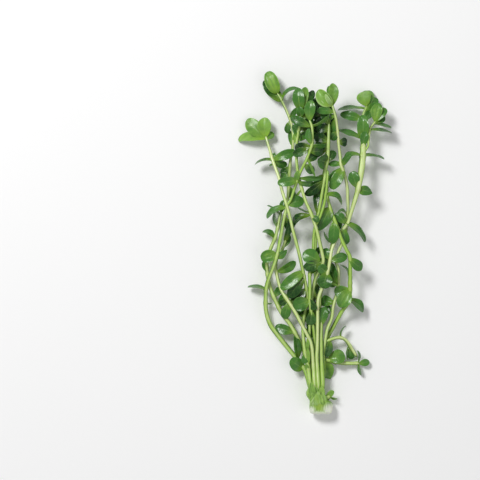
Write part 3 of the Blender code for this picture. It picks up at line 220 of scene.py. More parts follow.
# Each leaf is (shade, foot x, foot y, tip x, tip y, rise of the tip, width, roll in degrees, arch,
# form). Shade is -1 dark green, 0 middle and 1 yellow green: partly the leaf's own tone, and partly
# painted shade on leaves that lie in shadow and painted light on leaves that catch it. The foot is
# the nearest point of the stem in plan. Roll 0 faces up and 90 shows an edge, and arch is the height
# of the leaf's bow as a share of its length. A row that leaves out its last values takes them from
# here.
USUAL_LEAF = (0, 0.1, "round")
SOLID_LEAVES = {
    "outer_left_stem": [
        (0.1, -4.4, -54.8, -11, -51.3, 2.4, 6, 5, 0.08, "long"),
        (-0.3, -7.4, -51.2, -8.7, -40.6, 1.5, 3.8, 20, 0.12),
        (-0.2, -21.6, -20.4, -29.4, -18.9, -2.5, 4, 70, 0.06, "long"),
        (0.1, -17, -6.5, -12.2, -3, -1, 3.4, 15, 0.08, "pointed"),
        (-0.1, -12.6, 15.5, -21.2, 11, -2.5, 3.6, 45, 0.2, "long"), (-0.2, -11.6, 25, -9.4, 19.4, -2, 3.4),
        (-0.3, -11.3, 30.5, -15, 28.2, -1.5, 3.2, 15, 0.08), (-0.6, -11, 33.5, -15, 30.2, -1.5, 3.2, 10),
        (-0.4, -10.7, 53.5, -12, 48, -1, 3.2, 15), (-0.2, -14.4, 62.2, -6.4, 67.8, 0.5, 4.2, -68, 0.2),
        (-0.6, -14.4, 62.4, -22.1, 71.6, -2.7, 5.7, 0, 0, "long"),
        (0.45, -17.2, 65.4, -20.8, 75.2, 0.3, 6, -4, 0.14, "long"),
        (0, -16.4, 65.6, -17.9, 73, -1.5, 3.2, 30, 0.06),
        (0.15, -16.7, -5, -23.7, -6.8, -1, 5.6, 0, 0.1, "long"),
        (-0.85, -13.2, 12, -10.2, 4.6, -2, 3.4, 0, 0.08),
    ],
    "rear_left_stem": [
        (-0.3, -8.8, -39.2, -17.4, -36.6, -1.5, 4.6, 8), (-0.2, -15.8, -28.4, -13.3, -22.3, -1, 3.6),
        (-0.2, -17.9, -23.7, -15.5, -19.4, -1, 3.2, 0, 0.08),
        (-0.1, -20.9, -13.5, -22.8, -8.3, -0.5, 3, 30, 0.06),
        (-0.3, -17.6, 1.8, -22.9, 5.2, -1.5, 3.8, 48, 0.2),
        (-0.4, -16.4, 6.5, -17.8, 13.7, -1, 3.6, -68, 0.05), (-0.3, -15, 13, -13.8, 18.8, 0, 2.8, 0, 0.08),
        (-0.2, -15.3, 12.4, -20.8, 16.6, -0.5, 2.6, 62, 0.04, "long"),
    ],
    "crossing_left_stem": [
        (0.1, -11.4, -26, -13.4, -33.2, -3, 4.4), (0.15, -16.8, -12.6, -8.4, -8.2, 0.8, 4.4, 28, 0.12),
        (-0.8, -13, 0.5, -11.2, 10, 0.4, 2.6, 0, 0.08, "long"),
        (-0.2, -14, -2.2, -11, 3.6, -1, 2.6, 0, 0.05), (-0.7, -13, -23.6, -6.8, -20.8, -1.5, 5),
        (-0.3, -10.6, -27.4, -5, -29.2, -1.5, 4.4),
    ],
    "long_left_stem": [
        (-0.7, -5.2, -14.5, -11.5, -24, -3, 5.6), (0.15, -5.5, -12.6, -15, -20.2, 0.2, 5, 8, 0.08, "long"),
        (-0.1, -12.7, 17, -4.9, 18.7, -1, 5.2, 0, 0.08),
        (-0.3, -18.5, 36.2, -26.4, 34.4, -1.5, 4.2, 72, 0.12, "long"),
        (0, -18.5, 36.4, -8.4, 40.2, 0.5, 4.4, -10, 0.12), (-0.3, -18.4, 35.8, -12.2, 34.2, -2, 3.6, 5),
        (0.5, -21.4, 46.2, -29.9, 54.2, -1.8, 6.6, 0, 0.08),
        (0.7, -21.5, 46.4, -22, 55.1, 0.5, 6.2, 0, 0.08),
        (0.75, -21.3, 46, -33.7, 45.6, -3.8, 5.4, 35, 0.12, "long"),
        (0.4, -21.2, 45.6, -18.1, 48.4, -1, 3.2, 0, 0.05),
    ],
    "front_shoot": [
        (0.1, -8, 27.2, -16.5, 26, 0.5, 4.2, 0, 0.1, "long"),
        (-0.1, -7.6, 28.2, 3, 28.2, -1.5, 2.9, 30, 0.05), (-0.4, -8.2, 26.6, -0.2, 25.9, -2, 2.6, 10, 0.06),
        (-0.6, -2.4, 40.4, -9.9, 38.5, -2, 3.8, 0, 0.08),
        (-0.95, -2, 41.6, -9, 41.5, -3.5, 4.2, 0, 0.08, "long"),
        (-0.7, -2.5, 40, 3.6, 40.2, -2.5, 4, 0, 0.08), (-0.2, -1.7, 42.4, 4.6, 42.4, -0.5, 3.2, 45, 0.04),
        (-0.1, -1.7, 42.6, -3, 49.8, -0.5, 3.4, -30, 0.06),
        (-0.45, -1.6, 50.6, -10.9, 54.6, -1.5, 4.2, -10, 0.08),
        (0.3, -1.6, 50.7, 6, 55.8, -0.5, 3.6, 72, 0.05), (0.15, -2.6, 53, -1.9, 62, 0.8, 4.8),
    ],
    "centre_left_stem": [
        (-0.8, -1.6, 12.3, -9.6, 6.6, -4, 4.6, 50, 0.25), (-0.3, -2, 13.4, -8, 15.8, -1, 3, -80, 0.05),
        (-0.3, -1.4, 11.8, 1.6, 9.4, -0.5, 2.8, 0, 0.08), (0.1, 3.5, -8.4, -5.3, -4.2, -0.2, 6.8, 5),
        (-0.3, -7.4, 47.5, -4.4, 52.6, -2, 4), (-0.3, -7.8, 45.5, -9.4, 51.8, -2.5, 3.6),
        (0, -6.5, 54.6, -6.9, 59.4, 2.2, 3.6, 0, 0.12), (-0.15, -6.4, 57, -7.6, 67.6, 0.5, 5.4, -10),
        (0.5, -6.3, 57.6, -4.2, 68, 0, 4.4, 15), (-0.7, -6.4, 56.5, -0.6, 66.6, -2.5, 4, 15),
        (-0.6, 3.5, -8.6, -5, -10.8, -2, 5, 0, 0.1, "long"),
    ],
    "centre_side_shoot": [
        (-0.3, 4.4, 21, 11.5, 16.7, -1.5, 4.6, -60, 0.28, "long"),
    ],
    "centre_tall_stem": [
        (-0.5, 5.2, 35.3, 1.2, 36.4, 4.5, 7), (-0.6, 5.3, 35.4, 8.5, 40.2, -2, 3.8),
        (-0.9, 4, 27.5, -4.4, 20.9, -2.5, 4.2), (-0.8, 1.7, 12.4, 0.8, 23.6, -2, 3.2, 0, 0.08, "long"),
        (-0.3, -2.3, -13.8, 0.8, -8, -1.5, 4.4), (-0.85, 5.7, 44, -0.4, 46.6, -1.5, 4.6),
        (-0.85, 5.9, 49.5, 0.6, 50.4, -1, 4.8), (-0.75, 5.9, 51.5, 3.4, 57.6, -1, 4.4),
        (-0.3, -2.4, -25.2, -9.6, -27.8, -2.6, 6.4, 0, 0.06),
        (-0.45, -1.9, -29.5, -2.7, -35.8, 0.6, 5, -12, 0.06, "broad"),
    ],
    "right_middle_stem": [
        (-0.3, 8.4, -26.2, 2.4, -25.6, -1.5, 5, 10, 0.12), (-0.45, 10.1, -18.8, 7.2, -8.8, 0, 5, -25, 0.12),
        (-0.2, 14, 11.5, 9.1, 12.2, 0, 4.2, 70, 0.48, "long"),
        (0.2, 12, 32.3, 6.9, 23.6, 0.5, 5.2, 8, 0.1, "long"), (-1, 10.1, 44, 13.9, 44.4, -1.5, 4),
        (-0.4, 9.6, 48.6, 6.6, 45, -1, 3.8, 0, 0.08), (-0.2, 8.7, 55.2, 4.2, 54.7, 0.8, 3.2, 20, 0.08),
        (0, 8.3, 57, 0.5, 57.6, -0.5, 3.6, 15, 0.08), (0.5, 7.4, 59.8, 7.5, 69.6, 0.3, 4.6, 10, 0.08),
        (1.15, 7.4, 59.8, 1, 66.5, 0.8, 6.4, -20, 0.12, "bowl"),
        (1.2, 7.5, 59.9, 3, 65.6, 1.6, 4.4, 0, 0.12, "bowl"), (0.2, 7.4, 59.8, 6, 68.5, -1.2, 4),
        (-0.1, 8.8, 54.2, 7.3, 45.2, -2, 2.8, 0, 0.05, "long"),
    ],
    "right_thick_stem": [
        (-0.45, 5.4, -13, 3.6, -19.8, 1.8, 6.8, 0, 0.14), (-0.3, 5.5, -13.2, 1.6, -9.8, -1.5, 4.6),
        (-0.2, 6.5, -7.5, 4.1, -2.2, -1.5, 3.4), (-0.3, 8, -0.6, 3.8, 5, -1, 3.6, -80, 0.06),
        (-0.3, 13.8, 8.2, 8.7, 12.9, -1.5, 4.2, 10), (0, 12.7, 6.8, 13.9, -0.7, -2, 3.8),
        (-0.3, 14, 8.6, 22, 0.5, -2, 4.4, -50, 0.12, "long"),
        (-0.2, 18.7, 23.8, 16, 31.2, 0.5, 5, 8, 0.1, "broad"),
        (-0.2, 18.6, 23.4, 25, 21.7, -2, 4.4, 0, 0.05, "pointed"),
        (0, 20.9, 38, 12.5, 33, -1, 5.6, 62, 0.36, "long"),
        (-0.2, 20.9, 38, 30.2, 36.6, -2, 4.6, -70, 0.1, "long"),
        (0, 21, 45.4, 10.3, 49.3, -0.5, 4.6, 58, 0.05, "long"),
        (0.15, 21, 45.4, 20.8, 56, 0.4, 5.4, 0, 0.08, "long"),
        (0, 20.8, 54, 11.1, 56.6, -1.5, 4.2, 8, 0.08), (-0.1, 22, 58.9, 10, 58.3, 0.3, 4, 62, 0.06),
        (0.6, 22.8, 60, 21, 66.4, 0, 6.4, 0, 0.08, "broad"), (0.4, 22.2, 59.4, 23.6, 67.2, -4, 5.6),
        (-0.2, 22.2, 59.4, 27.6, 63.3, -1.6, 4, 0, 0.08), (0.1, 22, 57.6, 28.8, 60.3, -1, 5.2),
        (1, 4.7, -15.3, 9.8, -18.8, 0.6, 1.6, 50, 0.04, "long"), (-0.2, 6.6, -7.6, 14, -5.7, -1, 4.4),
    ],
    "right_top_shoot": [
        (-0.3, 24, 49.4, 33.6, 48, -1.5, 4.4, -70, 0.08, "long"),
        (0.4, 26.3, 53, 27.8, 61.3, 0.8, 5, 0, 0.08), (0.2, 26.3, 52.8, 31.2, 58.9, -0.8, 4.4, -12),
        (-0.3, 26, 52.4, 33.5, 50.6, -1, 3.2, -66, 0, "long"),
    ],
    "outer_right_stem": [
        (0.5, 3.95, -52, 7, -59.7, -2.7, 7, 0, 0, "pointed"), (-0.2, 15, -24.6, 21.4, -30, -2.5, 5, -42),
        (0.3, 15, -20, 10.6, -28, 1.2, 6.4), (-0.2, 15.3, -17.5, 11.3, -9.3, 0, 3.4, 68, 0.16, "long"),
        (0.3, 15.2, -20.2, 8.4, -21.8, -0.5, 5.6, 0, 0.08), (-0.2, 15.2, -6.4, 20.4, -11.7, -1.5, 5, -20),
        (0, 8.3, 10.5, 7.6, -0.2, -2.5, 4.8), (-0.4, 6.5, 15.5, 1.6, 5.3, 1.4, 6.2, 0, 0.1, "pointed"),
        (-0.4, 5.2, 24.5, 1.2, 20.6, -1.5, 4.4),
    ],
    "rear_centre_stem": [
        (-0.4, 0.3, -41.5, -2.9, -34.6, 0.5, 4.4), (-0.05, 0.4, -28.5, -4.6, -34.2, 0.5, 4.6),
        (-0.4, 0.3, -12, -3.4, -7.6, 0.5, 4.6), (-0.6, 2.9, 24, 0.9, 17, 0.5, 4),
        (-0.5, 3.8, 30, 0.4, 24.4, 1, 4.6), (-0.8, 5, 44, 0.2, 42.2, 1.5, 5.4),
        (-0.9, 4.2, 50.5, -0.6, 53.4, 1.5, 5.6), (-0.8, 4.4, 50, 9.2, 47.2, 1, 4.4),
        (-0.9, 3.3, 55.5, 5.8, 61.6, 1, 5.2), (-0.9, 3, 56.8, 0.4, 63.6, 1.5, 5.4),
    ],
    "rear_right_stem": [
        (-0.1, 2.7, -36, 4.3, -27.9, 0.5, 4.6), (0.1, 4.6, -14, 8.9, -19, 0.5, 4.4),
        (-0.4, 6.6, -5, 4.6, -10.2, 0.5, 4), (-0.2, 8.3, 7, 11.8, 8.6, 1, 4),
        (-0.5, 7.6, 11.4, 5, 14.2, 1.5, 4),
    ],
    "low_arching_shoot": [
        (-0.5, 6.6, -42.4, 4.9, -49.9, -0.5, 3.4, -20),
        (-0.2, 11.3, -41.5, 13.9, -36.4, -0.5, 2.6, -78, 0.14),
        (-0.1, 15.1, -44.8, 14.2, -51.4, -1.2, 2.6, 75, 0.04),
        (-0.1, 15.7, -45.7, 16.3, -51, -0.8, 3.4, 0, 0.05),
    ],
    "low_side_shoot": [
        (0.3, 5.4, -51.3, 13.2, -49.4, 0.3, 6.4, -15, 0.1, "broad"),
        (0.1, 19.3, -52.8, 24.1, -52.3, -0.3, 3.2, 0, 0.06), (0, 19.1, -52.8, 18.7, -47.1, 0, 3, 66, 0.05),
        (0, 19.4, -52.8, 20.4, -58.2, -0.3, 3, 66, 0.05),
    ],
    "crown_sprig": [
        (0.6, 5.2, -67.9, 8.1, -64.7, 0.3, 2.6, 0, 0.05, "long"),
        (0.5, 6.4, -67.6, 9.8, -68.3, -0.2, 2.2, 60, 0.05),
    ],
}

# Small leaves that the solid model leaves out.
SMALL_LEAVES = {
    "outer_left_stem": [
        (-0.2, -21.6, -26.3, -18.9, -26.5, -1, 2.4, 75, 0),
        (0.1, -9.8, 42.5, -11, 49.5, -1, 1.8, 0, 0.04, "long"),
        (0.9, -9.7, 42.5, -7.9, 49.6, 0.6, 2.2, 0, 0.05), (-0.3, -10.4, 54.6, -8, 59.2, 1.5, 2.4, 0, 0.05),
    ],
    "long_left_stem": [
        (-0.2, -17.9, 34.5, -20.1, 33.7, -0.5, 2.2, 70, 0), (0.1, -19, 38, -17.1, 38.8, 0.3, 2, 0, 0),
        (-0.7, -3.9, -20, -9, -24.6, -2.5, 4.4, 0, 0.06), (-0.6, -3.5, -25, 0.6, -28.6, -2.5, 4.4, 0, 0.06),
        (-0.9, -4.6, -33.2, -6.7, -27.4, -1.5, 3.8, 0, 0.06),
        (0.1, -4.2, -48.2, -5, -52.8, 0.2, 3.2, 0, 0.06), (0.8, -3, -55.4, -4.1, -52.9, 0.6, 1.7, 0, 0.05),
        (1, -2.9, -54, -3.3, -46, 0.4, 1.5, 0, 0.03, "long"),
    ],
    "front_shoot": [
        (0.5, -8.3, 26.4, -7.9, 31.3, 1.2, 2.6, 0, 0.08), (-0.75, -4.4, 35.4, 1.2, 39.6, -2, 3.6, 0, 0.05),
        (-0.35, -5, 34.2, -0.8, 30.6, -2.5, 3.8, 0, 0.05),
        (0.45, -3.6, 37.2, -0.2, 29, -3, 1.2, 0, 0.05, "long"),
    ],
    "centre_left_stem": [
        (0, -7.2, 49.4, -6.1, 44.3, 0, 2.6, 70, 0), (-0.3, -7.9, 44.5, -3.6, 48.4, -2.5, 4.4),
        (-0.8, -7.4, 48, -1.8, 55.4, -3, 5.2), (-0.8, -6.8, 53, -2.2, 60.5, -3, 5),
        (-0.9, -6.6, 55, 0.6, 61, -4, 5), (-0.9, 3.4, -8.2, 4.4, -15.2, -1.5, 4.2),
        (0.6, -5.9, 23.6, -10, 18, -3, 1.2, 0, 0.05, "long"),
    ],
    "centre_tall_stem": [
        (-0.8, 5.9, 48, 1.2, 54.6, -2.5, 5),
    ],
    "right_middle_stem": [
        (-0.1, 11.2, 34.3, 5.8, 34.3, 0.3, 3, 20, 0.05),
        (1.7, 6.9, 60.8, 4.2, 64.6, 1.6, 1.9, 0, 0.12, "long"),
        (-0.1, 11.4, 33.9, 15.4, 38.9, -0.5, 2.8, 0, 0.06, "long"),
        (-0.2, 11.6, 32.9, 6.4, 26.4, -0.5, 4.6, 0, 0.06, "broad"),
    ],
    "rear_centre_stem": [
        (-0.9, 4.9, 46, -3.5, 49.5, 1.5, 5.6), (-0.9, 3.2, 56, -2.8, 59.8, 1.5, 5.6),
        (-0.8, 4.9, 41, -2.4, 39, 1.5, 5.4), (-0.8, 4.5, 49.5, 8.8, 53.4, 1.5, 4.6),
        (-0.7, 0.3, -23, -2.6, -27.5, 0.8, 4), (-0.8, 0.3, -9.8, 5.6, -7.4, 2, 4.4),
        (-0.9, 4.9, 44.5, 3, 50.5, 0.8, 4.2, 0, 0.06), (-0.9, 4.2, 50, 4.2, 56.6, 0.8, 4.4, 0, 0.06),
        (-0.95, 3, 56.8, -1.8, 55.6, -1, 4.4, 0, 0.06), (-0.95, 3, 56.8, -2.7, 62.8, 0.5, 4.8, 0, 0.06),
        (-0.9, 4.2, 51, 8.4, 56.2, 0.5, 4.4, 0, 0.06), (-0.75, 0.35, -24, -5.2, -23.6, 0.5, 4.6, 0, 0.06),
        (-0.5, 0.35, -30, 4.2, -33.6, 0.5, 4, 0, 0.06), (0.3, 0.3, -36, -4, -41.5, 0.5, 4.6, 0, 0.06),
        (-0.5, 0.3, -42, -3, -48, 0.5, 4, 0, 0.06), (-0.6, 2.3, 20.6, 1.2, 15.6, 0.6, 2.6, 0, 0.05),
        (-0.6, 0.3, -17.6, 1.6, -22.8, 0.6, 2.6, 0, 0.05), (-0.6, 0.3, -6.6, 1.7, -1.8, 0.8, 2.4, 0, 0.05),
    ],
    "crossing_left_stem": [
        (-0.7, -12.4, -24.6, -15.4, -27, -1, 3, 0, 0.05),
        (-0.7, -11.4, -26.2, -7.6, -24.4, -2.5, 3.4, 0, 0.05),
        (0.7, -2.9, -41, -3.7, -46.6, -4.4, 1.7, 0, 0.05, "long"),
    ],
    "right_thick_stem": [
        (-0.2, 21, 41.6, 21.7, 48.8, 1, 3.8, 0, 0.04, "broad"),
        (-0.1, 20.9, 53.6, 24.9, 58, -1, 3.4, 0, 0.05),
    ],
    "rear_right_stem": [
        (-0.35, 2.6, -32.4, 6.5, -27.4, 0.3, 3.6, 0, 0.05),
    ],
    "right_top_shoot": [
        (-0.4, 26.3, 52.6, 30.6, 55.4, -2, 3.4, 0, 0.05),
    ],
}

# The crown's sections from its cut end up: y, middle x, half width, half height.
CROWN_MIDDLE_Z = 3.9
CROWN_SIDES = 16
CROWN_FULLNESS = 0.78    # below 1 the crown's sections fill out toward a rounded box
CROWN_SECTIONS = [
    (-75.0, 2.65, 3.7, 2.4), (-74.4, 2.65, 4.7, 3.4), (-72.6, 2.65, 4.95, 3.9),
    (-70.2, 2.6, 4.9, 3.9), (-69.0, 1.8, 4.2, 3.8), (-68.0, 0.7, 3.8, 3.8),
    (-66.8, 0.2, 4.0, 3.9), (-65.4, 0.2, 4.0, 3.9), (-64.3, 0.4, 3.6, 3.5), (-63.3, 0.4, 2.4, 2.4),
]

# The sheath leaves pressed on the crown: foot, tip, width, roll in degrees.
SHEATHS = [
    ((-1.2, -67.5, 7.0), (-1.7, -60.7, 8.1), 3.4, 0),
    ((2.6, -68.0, 6.9), (3.1, -62.2, 7.9), 2.8, 15),
]

# How a leaf makes way for its neighbours: the changes tried, smallest first.
RISE_STEPS = [0.0, 0.7, -0.7, 1.4, -1.4, 2.1, -2.1, 2.8, -2.8, 3.5, -3.5, 4.5, -4.5, 5.5, 6.5]
ROLL_STEPS = [0, 10, -10, 20, -20, 35, -35]
ROLL_COST = 0.06         # how much one degree of roll counts against a millimetre of rise


# Where the solid leaves lie

def smooth_route(points, spacing):
    """Points and radii at even spacing on a smooth curve through the route."""
    padded = [points[0]] + list(points) + [points[-1]]
    fine = []
    for before, start, end, after in zip(padded, padded[1:], padded[2:], padded[3:]):
        for step in range(CURVE_STEPS):
            t = step / CURVE_STEPS
            row = []
            for p0, p1, p2, p3 in zip(before, start, end, after):
                row.append(0.5 * (2 * p1 + (p2 - p0) * t + (2 * p0 - 5 * p1 + 4 * p2 - p3) * t * t
                                  + (3 * p1 - p0 - 3 * p2 + p3) * t ** 3))
            fine.append(row)
    fine.append(list(points[-1]))
    lengths = [0.0]
    for first, second in zip(fine, fine[1:]):
        lengths.append(lengths[-1] + (Vector(second[:3]) - Vector(first[:3])).length)
    pieces = max(FEWEST_RINGS, round(lengths[-1] / spacing))
    result = []
    index = 0
    for ring in range(pieces + 1):
        target = lengths[-1] * ring / pieces
        while index < len(fine) - 2 and lengths[index + 1] < target:
            index += 1
        share = limited((target - lengths[index]) / max(lengths[index + 1] - lengths[index], 1e-9))
        row = [a + (b - a) * share for a, b in zip(fine[index], fine[index + 1])]
        result.append((Vector(row[:3]), row[3]))
    return result


def limited(value):
    return max(0.0, min(1.0, value))


def rings_along(route):
    """The middle and radius of each ring of a stem, with the ways across and up it."""
    side_way = None
    for index, (centre, radius) in enumerate(route):
        before = route[max(index - 1, 0)][0]
        after = route[min(index + 1, len(route) - 1)][0]
        along = (after - before).normalized()
        if side_way is None:
            side_way = along.cross(UP).normalized()
        side_way = (side_way - along * side_way.dot(along)).normalized()
        yield centre, radius, side_way, side_way.cross(along)


def ring_faces(rings, sides):
    """Faces of a body of rings with flat ends, facing out."""
    faces = []
    for low in range(0, (rings - 1) * sides, sides):
        high = low + sides
        for corner in range(sides):
            following = (corner + 1) % sides
            faces.append((low + corner, high + corner, high + following, low + following))
    faces.append(tuple(range(sides)))
    faces.append(tuple(reversed(range((rings - 1) * sides, rings * sides))))
    return faces


def solid_stem(route):
    verts = []
    for centre, radius, side_way, up_way in rings_along(route):
        for corner in range(STEM_SIDES):
            angle = 2 * math.pi * corner / STEM_SIDES
            verts.append(centre + (side_way * math.cos(angle) + up_way * math.sin(angle)) * radius)
    return verts, ring_faces(len(route), STEM_SIDES)


def crown_outline(angle):
    """The place at an angle round a crown section, where 1 is its half width or half height."""
    return [math.copysign(abs(part) ** CROWN_FULLNESS, part) for part in (math.cos(angle), math.sin(angle))]


def solid_crown():
    verts = []
    for y, middle, half_width, half_height in CROWN_SECTIONS:
        for corner in range(CROWN_SIDES):
            across, up = crown_outline(2 * math.pi * corner / CROWN_SIDES)
            verts.append(Vector((middle + half_width * across, y, CROWN_MIDDLE_Z + half_height * up)))
    return verts, ring_faces(len(CROWN_SECTIONS), CROWN_SIDES)


def half_width_at(form, share):
    """The half width of a leaf at a share of its length, where 1 is its widest half width."""
    place, bluntness, _ = LEAF_FORMS[form]
    return math.sin(math.pi * share ** place) ** bluntness


def leaf_ways(foot, tip):
    """A leaf's length, its direction, and the ways up and across it before it is rolled."""
    length = (tip - foot).length
    along = (tip - foot) / length
    up = (UP - along * along.z).normalized()
    return length, along, up, along.cross(up)


def rolled(up, side, angle):
    """The normal and the side direction of a leaf that is turned about its length."""
    normal = up * math.cos(angle) + side * math.sin(angle)
    return normal, side * math.cos(angle) - up * math.sin(angle)


def solid_leaf(foot, tip, width, roll, arch, form="round", grow=0.0, first=0.0):
    """Vertices and faces of a thin lens-shaped leaf, from the share first of its length on."""
    chord = tip - foot
    length, along, up, side = leaf_ways(foot, tip)
    normal, side = rolled(up, side, math.radians(roll))

    def on_midrib(share):
        return foot + chord * share + normal * (arch * length * 4 * share * (1 - share))

    shares = SMALL_LEAF_SHARES if width < SMALL_LEAF else LEAF_SHARES
    verts = [on_midrib(first) - along * grow]
    for share in shares:
        half = half_width_at(form, share)
        share = first + (1 - first) * share
        middle = on_midrib(share)
        facing = side.cross(chord + normal * (arch * length * 4 * (1 - 2 * share))).normalized()
        reach = half * width / 2 + grow
        thick = LEAF_THICKNESS / 2 * min(1.0, END_THICKNESS + half * 0.5) + grow
        lift = facing * (LEAF_FORMS[form][2] * half * width / 2)
        verts.append(middle - side * reach + lift)
        verts.append(middle + facing * thick)
        verts.append(middle + side * reach + lift)
        verts.append(middle - facing * thick)
    verts.append(tip + along * grow)
    last = len(verts) - 1
    faces = []
    for edge in range(4):
        following = (edge + 1) % 4
        faces.append((0, 1 + edge, 1 + following))
        for low in range(1, last - 4, 4):
            high = low + 4
            faces.append((low + edge, high + edge, high + following, low + following))
        faces.append((last, last - 4 + following, last - 4 + edge))
    return verts, faces


def nearest_on_stem(route, x, y):
    """The point of a stem's middle line that is nearest to x, y in plan."""
    best = None
    for (first, _), (second, _) in zip(route, route[1:]):
        run = Vector((second.x - first.x, second.y - first.y))
        share = 0.0
        if run.length > 0:
            share = limited(Vector((x - first.x, y - first.y)).dot(run) / run.length_squared)
        point = first + (second - first) * share
        distance = math.hypot(point.x - x, point.y - y)
        if best is None or distance < best[0]:
            best = (distance, point)
    return best[1]


def surface(verts, faces):
    """A search tree of a shape's surface, with the low and high corner of the box round it."""
    low, high = [[pick(v[axis] for v in verts) for axis in range(3)] for pick in (min, max)]
    return BVHTree.FromPolygons(verts, faces), low, high


def meets(one, other):
    """True where two surfaces cross."""
    for axis in range(3):
        if one[1][axis] > other[2][axis] or other[1][axis] > one[2][axis]:
            return False
    return bool(one[0].overlap(other[0]))


def outer_blade(leaf, grow=0.0):
    """The part of a leaf beyond the reach of its own stem."""
    length = (leaf[1] - leaf[0]).length
    return surface(*solid_leaf(*leaf, grow=grow, first=min(LARGEST_REACH, OWN_STEM_REACH / length)))


def leaf_is_clear(name, leaf, taken):
    """True where a leaf stays above the ground and clear of everything placed before it."""
    if min(v.z for v in solid_leaf(*leaf)[0]) < GROUND_GAP:
        return False
    whole = surface(*solid_leaf(*leaf, grow=GAP))
    outer = outer_blade(leaf, grow=GAP / 2)
    for owner, kind, shape in taken:
        if owner != name:
            if (kind != "leaf" or owner == "crown") and meets(whole, shape):
                return False
        elif kind != "whole" and meets(outer, shape):
            return False
    return True


def settle_leaves(tables):
    """Each stem's leaves with their shades, each turned or raised just enough to clear the others."""
    routes = {}
    taken = []
    for name, points in STEM_ROUTES.items():
        routes[name] = smooth_route(points, RING_SPACING)
        taken.append((name, "stem", surface(*solid_stem(routes[name]))))
    taken.append(("crown", "stem", surface(*solid_crown())))
    for foot, tip, width, roll in SHEATHS:
        taken.append(("crown", "leaf", surface(*solid_leaf(Vector(foot), Vector(tip), width, roll, 0.0))))

    changes = []
    for rise in RISE_STEPS:
        for roll in ROLL_STEPS:
            changes.append((abs(rise) + ROLL_COST * abs(roll), rise, roll))
    changes.sort()

    placed = {name: [] for name in STEM_ROUTES}
    all_rows = [(name, row) for table in tables for name, rows in table.items() for row in rows]
    for name, row in all_rows:
        row += USUAL_LEAF[len(row) - 7:]
        shade, foot_x, foot_y, tip_x, tip_y, rise, width, roll, arch, form = row
        foot = nearest_on_stem(routes[name], foot_x, foot_y)
        for _, more_rise, more_roll in changes:
            tip = Vector((tip_x, tip_y, foot.z + rise + more_rise))
            leaf = (foot, tip, width, roll + more_roll, arch, form)
            if leaf_is_clear(name, leaf, taken):
                break
        placed[name].append((leaf, shade))
        taken.append((name, "leaf", outer_blade(leaf)))
        taken.append((name, "whole", surface(*solid_leaf(*leaf))))
    return placed


# Finer plant pieces

FINE_SPACING = 0.6       # distance between the rings of a fine stem
FINE_SIDES = 18
ROOTED_DEPTH = 3.0       # how far the stems reach down into the crown
ROOT_MIDDLE = 0.4        # x that they draw together toward there
ROOT_SPREAD = (0.7, 0.3)     # how much of their spread across and up is left there
END_WIDTHS = (0.55, 0.86, 1.0)   # of the last rings of a stem, so that its ends are rounded
NODE_SWELL = 0.20        # how much thicker a stem is where a leaf grows
NODE_REACH = 0.9         # how far that swelling reaches along the stem
STEM_UNEVEN = 0.05       # how much the thickness wanders along a stem
UNEVEN_PACE = 0.35       # how fast it does, by the millimetre
BAND_DRIFT = 1.2         # how far the bands of painted shade and painted highlight wander round a stem
DRIFT_PACE = 0.09        # how fast they do, by the millimetre
STEM_RIBS = 3
RIB_HEIGHT = 0.035       # as a share of the stem's radius
RIB_TWIST = 0.05         # how far their phase shifts in a millimetre
FOOT_WIDTH = 1.00        # least radius of a stem where it leaves the crown
FOOT_START = -34.0       # y where the stems begin to widen toward the crown
FOOT_END = -60.0         # and where they are that wide
BLADE_ROWS = 22
ROW_CROWDING = 1.35      # above 1 the rows lie closer toward the tip
BLADE_COLUMNS = 6        # on each half of the top side
BLADE_THICKNESS = 0.34
BLADE_TAPER = (1.25, 0.6)    # share of that at the foot, and how much less it is at the tip
BLADE_RIPPLE = 0.24      # height of a blade's soft unevenness
RIPPLE_PACE = (0.45, 0.40)   # how fast it changes across and along, by the millimetre
RIM_WAVES = 9.0          # how close the waves of a rim lie
WAVE_SHIFT = 1.7         # how far their phase shifts from the midrib to a rim
DROOP_START = 0.55       # share of the length where the tip begins to droop
GROOVE_DEPTH = 0.10      # of the midrib's groove on top, and of its ridge below
GROOVE_WIDTH = 0.13      # these two are shares of the half width
RIDGE_WIDTH = 0.16
PLEAT = 0.15             # height of the lengthwise pleats of a young leaf
PLEAT_TURNS = 9.0        # how close the pleats lie
PLEAT_HIGHLIGHT = 0.9        # painted highlight: how much lighter a young leaf is on its pleats
LEAF_STALK = 0.20        # half width of a leaf at its foot, as a share of its widest half width
STALK_SHARE = 0.2        # the share of a leaf's length that is no narrower than this
# How single leaves differ: the lowest and the highest value of each measure.
LEAF_CHANCES = {
    "fold": (0.07, 0.22),        # rise of the two halves from the midrib, as a share of the half width
    "cup": (-0.08, 0.04),        # added to the rise of the rims that the leaf's form gives
    "wave": (0.01, 0.045),       # height of the rim's waves, as a share of the width
    "wave start": (0, 6.28),
    "lean": (-0.05, 0.05),       # sideways bow, as a share of the length
    "twist": (-9, 9),            # degrees from foot to tip
    "droop": (-0.02, 0.06),      # of the tip, about this share of the length
}
# Leaves that show the pleats and their painted highlight, and how strongly.
PLEATED = {
    ("outer_left_stem", 11): 1.0,
    ("outer_left_stem", 13): 0.8,
    ("outer_right_stem", 2): 0.5,
    ("right_middle_stem", 0): 0.8,
    ("right_top_shoot", 1): 0.6,
    ("centre_tall_stem", 8): 0.5,
    ("centre_left_stem", 8): 0.6,
}


def add_to_scene(name, data):
    added = bpy.data.objects.new(name, data)
    bpy.context.scene.collection.objects.link(added)
    return added


